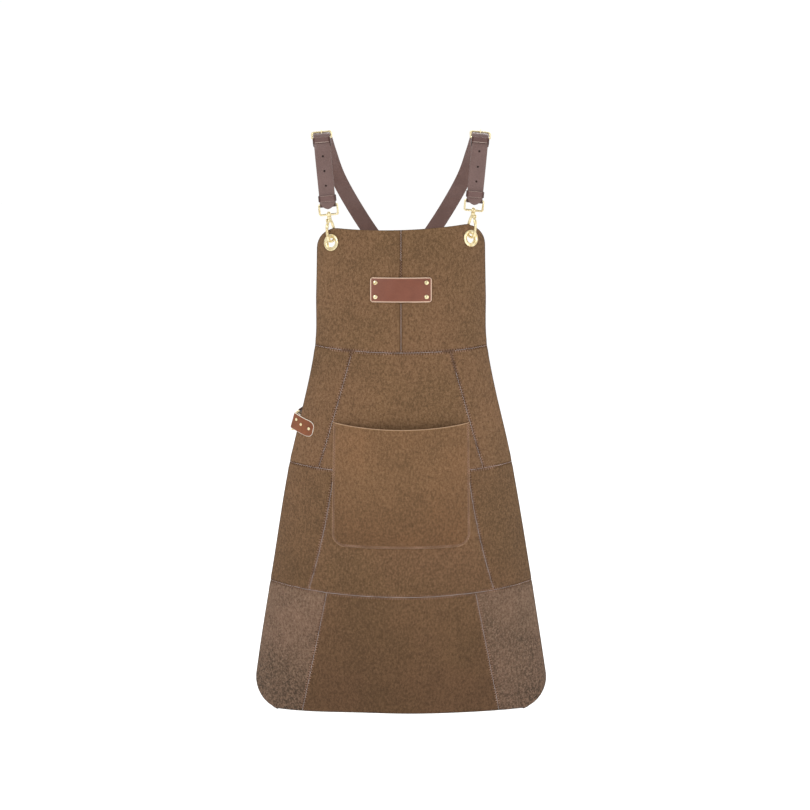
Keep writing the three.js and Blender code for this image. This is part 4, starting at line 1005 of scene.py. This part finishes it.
def add_chape(name, sign):
    """One strip folded round the buckle's heel bar and back round the hook's eye."""
    thickness = STRAP_LEATHER - 0.06
    loop = LOOP_BORE + STRAP_LEATHER - thickness / 2
    last = eye_run(sign)

    def fold(run, start, over):
        y, z, _ = on_strap(run, LOOP_MID)
        ways = [start * math.cos(a) + over * math.sin(a) for a in np.linspace(0, math.pi, 17)]
        return [(np.array((0, y, z)) + loop * way, way) for way in ways]

    def layer(side):
        found = []
        for run in np.linspace(HEEL_RUN + 2, last - 2, 48):
            half = chape_half(min(run - HEEL_RUN, last - run)) - thickness / 2
            y, z, angle = on_strap(run, LOOP_MID + side * half)
            found.append((np.array((0, y, z)), side * facing(angle)))
        return found

    heel_cos, heel_sin = math.cos(HEEL_ANGLE), math.sin(HEEL_ANGLE)
    path = (fold(HEEL_RUN, -facing(HEEL_ANGLE), np.array((0, heel_sin, heel_cos))) + layer(1)
            + fold(last, facing(0), np.array((0, 0, -1))) + layer(-1)[::-1])
    vertices, faces, marks = band([(p, o, STRAP_WIDTH) for p, o in path], thickness, closed=True)
    # The chape is mostly side colour: the dark red-brown without the faces' painted sheen.
    piece = make_piece(f"chape_{name}", transform(vertices, shoulder_matrix(sign)), faces, KEEPER,
                       marks={"edge": marks * 0.0, "side": 1.0 - marks * 0.3})
    y, z, _ = on_strap(HEEL_RUN, LOOP_MID)
    tilt = basis((1, 0, 0), (0, heel_sin, -heel_cos), (0, heel_cos, heel_sin), (0, y, z))
    cut_holes(piece, [block((5, 9.2, 20), (0, 0, 5.4), shoulder_matrix(sign) @ tilt)])


def rounded_loop(width, height, radius, step=5):
    """Points round a rounded rectangle in XY."""
    points = []
    for sx, sy, start in ((1, 1, 0), (-1, 1, 90), (-1, -1, 180), (1, -1, 270)):
        centre = (sx * (width / 2 - radius), sy * (height / 2 - radius))
        for k in range(step + 1):
            a = math.radians(start + 90 * k / step)
            points.append((centre[0] + radius * math.cos(a), centre[1] + radius * math.sin(a)))
    points = np.array(points)
    dense = []
    for a, b in zip(points, np.roll(points, -1, 0)):
        parts = max(1, int(np.linalg.norm(b - a) / 2))
        dense.extend(a + (b - a) * k / parts for k in range(parts))
    return np.array(dense)


def add_keeper(name, kind, sign, run, below, inside, body):
    """A band round the chape and the strap; its outer face bulges a little over the strap."""
    wall, height = 1.5, 10.5
    loop = rounded_loop(STRAP_WIDTH + 2 * GAP + wall, inside + wall, 2.0)
    y, z, angle = on_strap(run, LOOP_MID - below + inside / 2)
    out, across = facing(angle), np.array((1.0, 0, 0))
    centre = np.array((0, y, z))
    stations = []
    for a, b in loop:
        bulge = 0.45 * (1 - (2 * a / STRAP_WIDTH) ** 2) if b > inside / 2 else 0
        point = centre + across * a + out * (b + max(bulge, 0))
        push = across * (a if abs(a) > STRAP_WIDTH / 2 - 0.5 else 0) + out * (b if abs(b) > inside / 2 - 0.5 else 0)
        stations.append((point, push, height))
    vertices, faces, marks = band(stations, wall, closed=True, edge=0.5)
    # The side walls take the dark red-brown; the faces keep the painted sheen.
    side = smoothstep((np.abs(vertices[:, 0]) - STRAP_WIDTH / 2 + 2.2) / 1.8)
    make_piece(f"{kind}_{name}", transform(vertices, shoulder_matrix(sign)), faces, KEEPER, body,
               marks={"edge": marks * (1 - side), "side": side})


def front_route(sign):
    """The strap's free end: run forward, height off the body and width, from its tip to the shoulder top."""
    full, last = STRAP_WIDTH, eye_run(sign)
    layer = LOOP_MID + 1.5 * STRAP_LEATHER + GAP
    over = layer + LOOP_BORE
    flat = STRAP_LEATHER / 2
    tip = [(last + 7.4, over, 2.0), (last + 7.0, over, 6.0), (last + 6.1, over, 10.0), (last + 4.6, over, 14.5),
           (last + 2.4, over, 19.0), (last - 0.4, over - 0.2, 23.3), (last - 3.4, over - 0.7, 26.4)]
    return tip + [
        (last - 6.5, over - 1.6, full), (last - 11, layer, full), ((last + ARC_LENGTH) / 2, layer, full),
        (ARC_LENGTH, layer, full), (HEEL_RUN + 19, layer, full), (HEEL_RUN + 14, layer + 0.6, full),
        (HEEL_RUN + 9, layer + 1.5, full), (HEEL_RUN + 4, over, full), (HEEL_RUN, over + 0.1, full),
        (HEEL_RUN - 4, over - 1.2, full), (HEEL_RUN - 9, over - 4.7, full), (HEEL_RUN - 13.5, 3.1, full),
        (NOSE_RUN, flat + 0.9, full), (NOSE_RUN - 7, flat, full)]


def waist_point(name, run, offset):
    """A point and outward direction at the waist tab, run past the raw edge."""
    z = TAB_Z + run * math.tan(TAB_RISE)
    spread = SECTION_SPREAD * float(half_width(z))
    edge_angle = math.asin(1 / SECTION_SPREAD)
    speed = math.hypot(spread * math.cos(edge_angle), float(drape_value(z, DEPTH)) * math.sin(edge_angle))
    x = SIDES[name] * spread * math.sin(edge_angle + run / speed)
    return leather_point(x, z, offset), drape_normal(np.float64(x), np.float64(z))


def tab_layers(name):
    """Offsets: of the tab's loop from the leather's middle, then of the loop's wall and the two layers from that."""
    loop = LOOP_BORE + TAB_LEATHER / 2
    if name == "right":
        grip = (LEATHER + TAB_LEATHER) / 2 + GAP
        return 0, loop, grip, -grip
    return -(LEATHER / 2 + GAP + TAB_LEATHER + LOOP_BORE), loop, loop, loop - TAB_LEATHER - GAP


def ring_directions(name):
    """The side ring's bar: its middle, its direction, the way the ring lies, and away from the body."""
    sign, run, centre = SIDES[name], RING_RUN[name], tab_layers(name)[0]
    point, out = waist_point(name, run, centre)
    ahead = waist_point(name, run + 1, centre)[0] - point
    bar = unit(np.cross(out, ahead) * sign)
    along = np.array((sign * RING_TURN, 1, 0))
    along = unit(along - bar * np.dot(along, bar))
    return point, bar, along, unit(np.cross(along, bar) * sign)


def strap_end(name):
    """Stations of a strap's lower end, folded round the side ring, and its rivet's place."""
    point, bar, along, away = ring_directions(name)
    pull = along * math.cos(RING_STRAP_ANGLE) + bar * math.sin(RING_STRAP_ANGLE)
    centre = point + pull * RING_RADIUS
    layer = STRAP_LEATHER / 2 + GAP / 2
    at = lambda reach, offset, width, out: (centre + pull * reach + away * offset, out, width)
    narrow = FOLD_WIDTH
    stations = [at(66, layer, STRAP_WIDTH, away)]
    for reach in range(52, 16, -4):
        width = narrow + (STRAP_WIDTH - narrow) * float(smoothstep((reach - 14) / 38))
        stations.append(at(reach, layer, width, away))
    stations += [at(12, layer, narrow, away), at(5, FOLD_RADIUS * 0.82, narrow, away)]
    for a in np.linspace(0, math.pi, 13):
        out = away * math.cos(a) - pull * math.sin(a)
        stations.append(at(-FOLD_RADIUS * math.sin(a), FOLD_RADIUS * math.cos(a), narrow, out))
    stations += [at(5, -FOLD_RADIUS * 0.82, narrow, -away), at(12, -layer, narrow, -away),
                 at(26, -layer, narrow + 3, -away), at(FOLD_OVERLAP, -layer, narrow + 5, -away)]
    rivet_place = basis(unit(np.cross(pull, away)), pull, away, centre + pull * FOLD_RIVET)
    return stations, rivet_place


def bezier(a, b, c, d, t):
    return (1 - t)**3 * a + 3 * (1 - t)**2 * t * b + 3 * (1 - t) * t**2 * c + t**3 * d


def back_route(sign, start, end, pull):
    """Over the shoulder blade, across the spine and, in one even sweep, round to the opposite waist."""
    s = sign
    crossing = np.array((0, CROSS_Y - s * (STRAP_LEATHER / 2 + GAP), CROSS_Z))
    rear = np.array((0.0, 1.0, 0.0))
    leaving = crossing + CROSS_SWEEP * np.array((-s * 0.57, -0.02, -0.82))
    arriving = end[0] + CROSS_SWEEP * pull
    route = [start,
             ((s * (SHOULDER_X - 2), ARC_Y + 62, -9), (0, 0.45, 0.9)),
             ((s * (SHOULDER_X - 8), ARC_Y + 84, -34), (0, 0.9, 0.45)),
             ((s * 114, 84, -84), (s * 0.12, 1, 0.12)),
             ((s * 68, 98, -166), (s * 0.08, 1, 0.04)),
             (crossing, rear)]
    for t, turned in ((0.1, 0.01), (0.3, 0.22), (0.55, 0.5), (0.78, 0.78)):
        route.append((bezier(crossing, leaving, arriving, end[0], t), rear * (1 - turned) + end[1] * turned))
    route.append(end)
    points = np.array([p for p, _ in route], float)
    outs = np.array([o for _, o in route], float)
    knots = np.concatenate([[0], np.cumsum(np.sqrt(np.linalg.norm(np.diff(points, axis=0), axis=1)))])
    where = np.concatenate([np.linspace(a, b, 10)[:-1] for a, b in zip(knots, knots[1:])])[1:]
    k, t = segment(knots, where)
    t = t[:, None]
    curve = catmull_rom(points, knots, where)
    return [(p, o, STRAP_WIDTH) for p, o in zip(curve, unit(outs[k] * (1 - t) + outs[k + 1] * t))]


def catmull_rom(points, knots, where):
    """The centripetal curve through points, with its ends extended as mirror images."""
    p = np.concatenate([[2 * points[0] - points[1]], points, [2 * points[-1] - points[-2]]])
    steps = np.sqrt(np.linalg.norm(np.diff(p, axis=0), axis=1))
    found = []
    for w in where:
        k, t = segment(knots, w)
        d0, d1, d2 = steps[k], steps[k + 1], steps[k + 2]
        a, b, c, d = p[k], p[k + 1], p[k + 2], p[k + 3]
        slope_b = ((b - a) / d0 - (c - a) / (d0 + d1) + (c - b) / d1) * d1
        slope_c = ((c - b) / d1 - (d - b) / (d1 + d2) + (d - c) / d2) * d1
        found.append(cubic(t, b, slope_b, c, slope_c))
    return np.array(found)


def add_long_strap(name, sign):
    opposite = "left" if name == "right" else "right"
    m = shoulder_matrix(sign)
    front = []
    for run, offset, width in front_route(sign):
        y, z, angle = on_strap(run, offset)
        front.append((transform([(0, y, z)], m)[0], m[:3, :3] @ facing(angle), width))
    crest = [(transform([(0, ARC_Y + run, STRAP_LEATHER / 2)], m)[0], m[:3, 2], STRAP_WIDTH) for run in (14, 30, 38)]
    end, rivet_place = strap_end(opposite)
    back = back_route(sign, crest[2][:2], end[0][:2], rivet_place[:3, 1])
    stations = densify(front + crest, 2.5) + back[1:] + densify(end, 2.5)
    vertices, faces, marks = band(stations, STRAP_LEATHER)
    piece = make_piece(f"long_strap_{name}", vertices, faces, STRAP, marks={"edge": marks})
    cutters = []
    for k in range(3):
        y, z, angle = on_strap(run_at(-30 - 25.5 * k) + strap_drop(sign), LOOP_MID + 2 * STRAP_LEATHER)
        out = facing(angle)
        place = basis((1, 0, 0), np.cross(out, (1, 0, 0)), out, (0, y, z))
        cutters.append(rod(1.9, 3 * STRAP_LEATHER, m @ place, 24))
    frame_matrix = m @ buckle_frame_matrix()
    cutters.append(block((4.4, 11, 12), (0, BUCKLE_LENGTH * 0.52, 2.4), frame_matrix))
    cut_holes(piece, cutters)
    rivet(f"strap_rivet_{opposite}", rivet_place, 2 * STRAP_LEATHER + GAP)


def add_buckle(name, sign):
    m = shoulder_matrix(sign) @ buckle_frame_matrix()
    loop = rounded_loop(BUCKLE_WIDTH, BUCKLE_LENGTH, 2.9, 6)
    points = np.column_stack([loop[:, 0], loop[:, 1] + BUCKLE_LENGTH / 2, 0 * loop[:, 0]])
    nose = smoothstep((points[:, 1] - 4) / 12)
    make_brass(f"buckle_frame_{name}", [tube(points, WIRE + 0.25 * nose, 14, closed=True)], m, f"buckle_{name}")
    eye = [(0, 3.05 * math.cos(a), 3.05 * math.sin(a)) for a in np.linspace(0, 2 * math.pi, 25)[:-1]]
    ring = tube(eye, 0.8, 10, closed=True, up=(1, 0, 0), flat=2.0)
    lift = WIRE + GAP + 1.05
    shank = [(0, 2.9, -0.4), (0, 7, 0.75), (0, 11, 1.9), (0, 15, lift), (0, BUCKLE_LENGTH + 1.9, lift)]
    bar = tube(shank, [1.0, 1.15, 1.15, 1.1, 1.0], 12, up=(1, 0, 0))
    make_brass(f"buckle_prong_{name}", [ring, bar], m, f"prong_{name}", melt=(0.25, 2))


# ---------------------------------------------------------------- snap hooks


def hook_matrices(sign):
    """The eye's frame at its lower bar, and the swivel's frame turned about it."""
    m = shoulder_matrix(sign)
    eye = m @ basis((1, 0, 0), (0, 1, 0), (0, 0, 1), (0, STRAP_LINE_Y, -EYE_BELOW - strap_drop(sign)))
    turn = sign * HOOK_TURN
    c, s = math.cos(turn), math.sin(turn)
    return eye, eye @ basis((c, s, 0), (-s, c, 0), (0, 0, 1), (0, 0, 0))


def add_hook(name, sign):
    eye, swivel = hook_matrices(sign)
    loop = rounded_loop(EYE_WIDTH, EYE_HEIGHT, 2.1, 6)
    points = np.column_stack([loop[:, 0], 0 * loop[:, 0], loop[:, 1] + EYE_HEIGHT / 2])
    low = np.clip(1 - points[:, 2] / 6, 0, 1)
    points[:, 0] *= 1 - 0.02 * low
    ring = tube(points, WIRE + 0.15 * low, 14, closed=True, up=(0, 1, 0))
    boss = lathe(rounded([(0, -3.4), (3.4, -3.4), (4.0, -1.6), (4.0, 1.4), (3.3, 3.0), (0, 3.2)], 0.8), 32)
    piece = make_brass(f"hook_eye_{name}", [ring, boss], eye, f"hook_eye_{name}", melt=(0.3, 3))
    cut_holes(piece, [rod(2.3, 20, eye)])

    top = 3.5
    spindle = lathe(rounded([(0, -top - 4.6), (3.2, -top - 4.6), (3.9, -top - 1.4), (3.9, -top), (2.0, -top),
                             (2.0, top), (3.1, top), (2.7, top + 1.2), (1.4, top + 1.8), (0, top + 1.9)], 0.4), 32)
    bend = HOOK_DROP - HOOK_HALF
    route = [(0, 0.6, -6), (0, 3.2, -10.5), (0, 7, -19), (0, HOOK_HALF, -28), (0, HOOK_HALF, -33)]
    route += [(0, HOOK_HALF * math.cos(a), -bend - HOOK_HALF * math.sin(a)) for a in np.linspace(0, math.pi, 13)]
    route += [(0, -HOOK_HALF, -HOOK_SPLIT - 6), (0, -HOOK_HALF, -HOOK_SPLIT - 1.2)]
    wire = tube(densify_line(route, 1.2), 2.5, 14)
    cheeks = [block((1.9, 6.0, 6.2), (x, -2.6, -10.2)) for x in (-2.7, 2.7)]
    bridge = block((7.2, 2.6, 6.0), (0, 0.7, -10.0))
    make_brass(f"hook_body_{name}", [spindle, wire, bridge, *cheeks], swivel, f"hook_{name}", melt=(0.3, 3))

    lever = densify_line([(0, PIN_Y - 0.2, PIN_Z - 2.0), (0, -5.6, -15.5), (0, -7.6, -19.5),
                          (0, -HOOK_HALF + 0.1, -HOOK_SPLIT + 0.9)], 1.0)
    width = np.interp(np.linspace(0, 1, len(lever)), [0, 0.35, 0.75, 1], [1.5, 2.7, 2.9, 2.4])
    tongue = tube([(0, PIN_Y, PIN_Z + 1.0), (0, PIN_Y - 0.2, PIN_Z - 3.0)], 1.3, 12)
    make_brass(f"hook_gate_{name}", [tube(lever, width, 14), tongue], swivel, f"gate_{name}", melt=(0.25, 3))
    across = basis((0, 0, -1), (0, 1, 0), (1, 0, 0), (0, PIN_Y, PIN_Z))
    make_brass(f"hook_gate_pin_{name}", [rod(PIN_RADIUS, 7.6, across, 20)], swivel, f"hook_{name}")


def densify_line(points, step):
    return np.array([p for p, _, _ in densify([(p, (1, 0, 0), 1) for p in points], step)])


# ---------------------------------------------------------------- waist tabs, side rings, crossing


def add_tab(name):
    """A strip folded round the side ring's bar: over the raw edge on the right, doubled behind it on the left."""
    ring_run = RING_RUN[name]
    centre, loop, front, back = tab_layers(name)

    def at(distance, offset, width=TAB_WIDTH, inward=False):
        point, out = waist_point(name, ring_run - distance, centre + offset)
        return point, -out if inward else out, width

    def opening(layer, wall, distance):
        return wall + (layer - wall) * float(smoothstep(distance / TAB_MOUTH))

    tip = [(0, 8), (0.5, 14.5), (1.4, 19), (2.8, 23), (4.8, 25.8), (7.5, 27.4), (10.5, TAB_WIDTH), (18, TAB_WIDTH)]
    stations = [at(TAB_FRONT - run, front, width) for run, width in tip]
    stations += [at(27, front), at(19, front)]
    stations += [at(d, opening(front, loop, d)) for d in (TAB_MOUTH, 6.5, 4.5, 2.5)]
    point, out = waist_point(name, ring_run, centre)
    ahead = unit(waist_point(name, ring_run + 1, centre)[0] - point)
    for a in np.linspace(0, math.pi, 13):
        way = out * math.cos(a) + ahead * math.sin(a)
        stations.append((point + way * loop, way, TAB_WIDTH))
    stations += [at(d, opening(back, -loop, d), TAB_WIDTH, True) for d in (2.5, 4.5, 6.5, TAB_MOUTH)]
    stations += [at(d, back, TAB_WIDTH, True) for d in (19, 31, TAB_INNER)]
    vertices, faces, marks = band(densify(stations, 2.0), TAB_LEATHER, edge=1.05)
    make_piece(f"waist_tab_{name}", vertices, faces, TAB, marks={"edge": marks})
    if name == "right":
        add_tab_rivets()
    else:
        add_tab_stitches(name, centre + back - TAB_LEATHER / 2)


def add_tab_rivets():
    for k, (run, rise) in enumerate(TAB_RIVETS):
        point, out = waist_point("right", run, 0)
        across = unit(np.cross((0, 0, 1), out))
        rising = np.cross(out, across)
        place = basis(across, rising, out, point + rising * rise)
        rivet(f"tab_rivet_right_{k + 1}", place, LEATHER + 2 * (TAB_LEATHER + GAP), 0.72)


def add_tab_stitches(name, offset):
    """The box of stitching that holds the hidden tab, on its rear face."""
    outline = rounded_loop(22, 19, 2)
    points, normals = [], []
    for along, rise in np.concatenate([outline, outline[:1]]):
        point, out = waist_point(name, RING_RUN[name] - 34 + along, offset)
        rising = np.cross(out, unit(np.cross((0, 0, 1), out)))
        points.append(point + rising * rise)
        normals.append(-out)
    path = np.array(points), np.array(normals)
    make_thread(f"stitch_tab_{name}", running_stitch(path, STRONG_THREAD), STRONG_THREAD)


def add_side_ring(name):
    point, bar, along, away = ring_directions(name)
    r = RING_RADIUS
    outline = [(r * math.cos(a), r * math.sin(a)) for a in np.linspace(0, math.pi, 37)]
    outline += [(x, 0) for x in np.linspace(-r, r, 16)[1:-1]]
    wire = tube([(x, y, 0) for x, y in outline], WIRE, 14, closed=True)
    make_brass(f"side_ring_{name}", [wire], basis(bar * -SIDES[name], along, away, point), f"side_ring_{name}")


def add_crossing():
    outside = CROSS_Y + STRAP_LEATHER + 2 * GAP + 1
    inside = CROSS_Y - STRAP_LEATHER - GAP
    t = STRAP_LEATHER
    facing_back = basis((1, 0, 0), (0, 0, -1), (0, 1, 0), (0, outside, CROSS_Z))
    profile = rounded([(0, 0), (CROSS_PATCH, 0), (CROSS_PATCH, t), (0, t)], 0.7, 4)
    vertices, faces = lathe(profile, 72, facing_back)
    rim = np.linalg.norm(vertices[:, [0, 2]] - (0, CROSS_Z), axis=1) > CROSS_PATCH - 0.25
    make_piece("cross_patch", vertices, faces, STRAP, marks={"edge": rim.astype(float)})
    outer = outside + STRAP_LEATHER
    middle = basis((1, 0, 0), (0, 0, -1), (0, 1, 0), (0, (outer + inside) / 2, CROSS_Z))
    rivet("cross_rivet", middle, outer - inside, 1.3)
    ring = [(18.5 * math.cos(a), 18.5 * math.sin(a), t) for a in np.linspace(0, 2 * math.pi, 64)]
    path = transform(ring, facing_back), np.tile((0.0, 1.0, 0.0), (len(ring), 1))
    make_thread("stitch_cross_patch", running_stitch(path, STRONG_THREAD), STRONG_THREAD)


# ---------------------------------------------------------------- the object

add_bib()
add_row("waist", waist_seam, bib_seam, hip_seam, SUEDE, 230, 70)
add_row("skirt", skirt_seam, hip_seam, hem_seam, SUEDE_FLANK_SHADED, 290, 85)
add_row("hem", hem_row_seam, hem_seam, hem_line, SUEDE_HEM, 320, 100)
add_pocket()
add_label()
add_label_rivets()
add_stitches()
for side_name, side_sign in SIDES.items():
    add_eyelet(side_name, side_sign)
    add_chape(side_name, side_sign)
    add_keeper(side_name, "upper_keeper", side_sign, HEEL_RUN + 8.4, 4.4, 12.1, "apron")
    add_keeper(side_name, "lower_keeper", side_sign, eye_run(side_sign) - 10.9, 3.5, 9.6, f"keeper_{side_name}")
    add_buckle(side_name, side_sign)
    add_hook(side_name, side_sign)
    add_long_strap(side_name, side_sign)
    add_tab(side_name)
    add_side_ring(side_name)
add_crossing()

# ---------------------------------------------------------------- studio


FLOOR_REACH, FLOOR_LEVEL = 12.0, -1.30
# Each light's name, place, target, size in metres and power in watts, then the camera, in millimetres and metres.
LIGHTS = (("key", (-1.7, -2.4, 1.3), (0, 0, -0.5), 1.2, 36.5),
          ("fill", (2.3, -2.2, 0.3), (0, 0, -0.5), 1.6, 21.5),
          ("back", (0.5, 2.6, 1.4), (0, 0, -0.4), 2.0, 30))
SENSOR, LENS, EYE, EYE_PITCH = 36, 79.9, (0.007, -3.2, 0.192), math.radians(78)


def add_floor():
    mesh = bpy.data.meshes.new("floor")
    reach, level = FLOOR_REACH, FLOOR_LEVEL
    mesh.from_pydata([(-reach, -reach, level), (reach, -reach, level), (reach, reach, level), (-reach, reach, level)],
                     [], [[0, 1, 2, 3]])
    s = Shader("floor")
    tone = s.mix(s.noise(3, 3), [0.95, 0.95, 0.95, 1], [0.97, 0.97, 0.97, 1])
    lift = {"Emission_Color": (1, 1, 1, 1), "Emission_Strength": 0.22}
    mesh.materials.append(s.finish(tone, 0.9, Specular_IOR_Level=0.0, **lift))
    floor = bpy.data.objects.new("floor", mesh)
    bpy.context.scene.collection.objects.link(floor)
    floor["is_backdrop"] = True


def add_world():
    """White all round the back, a little darker towards the camera so that metal has something to show."""
    world = bpy.data.worlds.new("studio")
    world.use_nodes = True
    tree = world.node_tree
    place = tree.nodes.new("ShaderNodeTexCoord")
    split = tree.nodes.new("ShaderNodeSeparateXYZ")
    remap = tree.nodes.new("ShaderNodeMapRange")
    for key, value in (("From Min", -0.45), ("From Max", 0.1), ("To Min", 0.55), ("To Max", 1.02)):
        remap.inputs[key].default_value = value
    tree.links.new(place.outputs["Generated"], split.inputs["Vector"])
    tree.links.new(split.outputs["Y"], remap.inputs["Value"])
    background = tree.nodes["Background"]
    background.inputs["Color"].default_value = (1, 1, 1, 1)
    tree.links.new(remap.outputs["Result"], background.inputs["Strength"])
    bpy.context.scene.world = world


def add_light(name, place, target, size, power):
    light = bpy.data.lights.new(name, "AREA")
    light.shape, light.size, light.energy = "DISK", size, power
    lamp = bpy.data.objects.new(name, light)
    lamp.location = place
    lamp.rotation_euler = (Vector(target) - Vector(place)).to_track_quat("-Z", "Y").to_euler()
    bpy.context.scene.collection.objects.link(lamp)


def add_camera():
    camera = bpy.data.cameras.new("camera")
    camera.sensor_width, camera.lens, camera.clip_end = SENSOR, LENS, 50
    eye = bpy.data.objects.new("camera", camera)
    eye.location = EYE
    eye.rotation_euler = (EYE_PITCH, 0, 0)
    bpy.context.scene.collection.objects.link(eye)
    bpy.context.scene.camera = eye


add_floor()
for light in LIGHTS:
    add_light(*light)
add_world()
bpy.context.scene.view_settings.view_transform = "Standard"
add_camera()

visual_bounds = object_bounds()
plain = [[list(corner) for corner in box] for box in (cad_bounds, visual_bounds)]
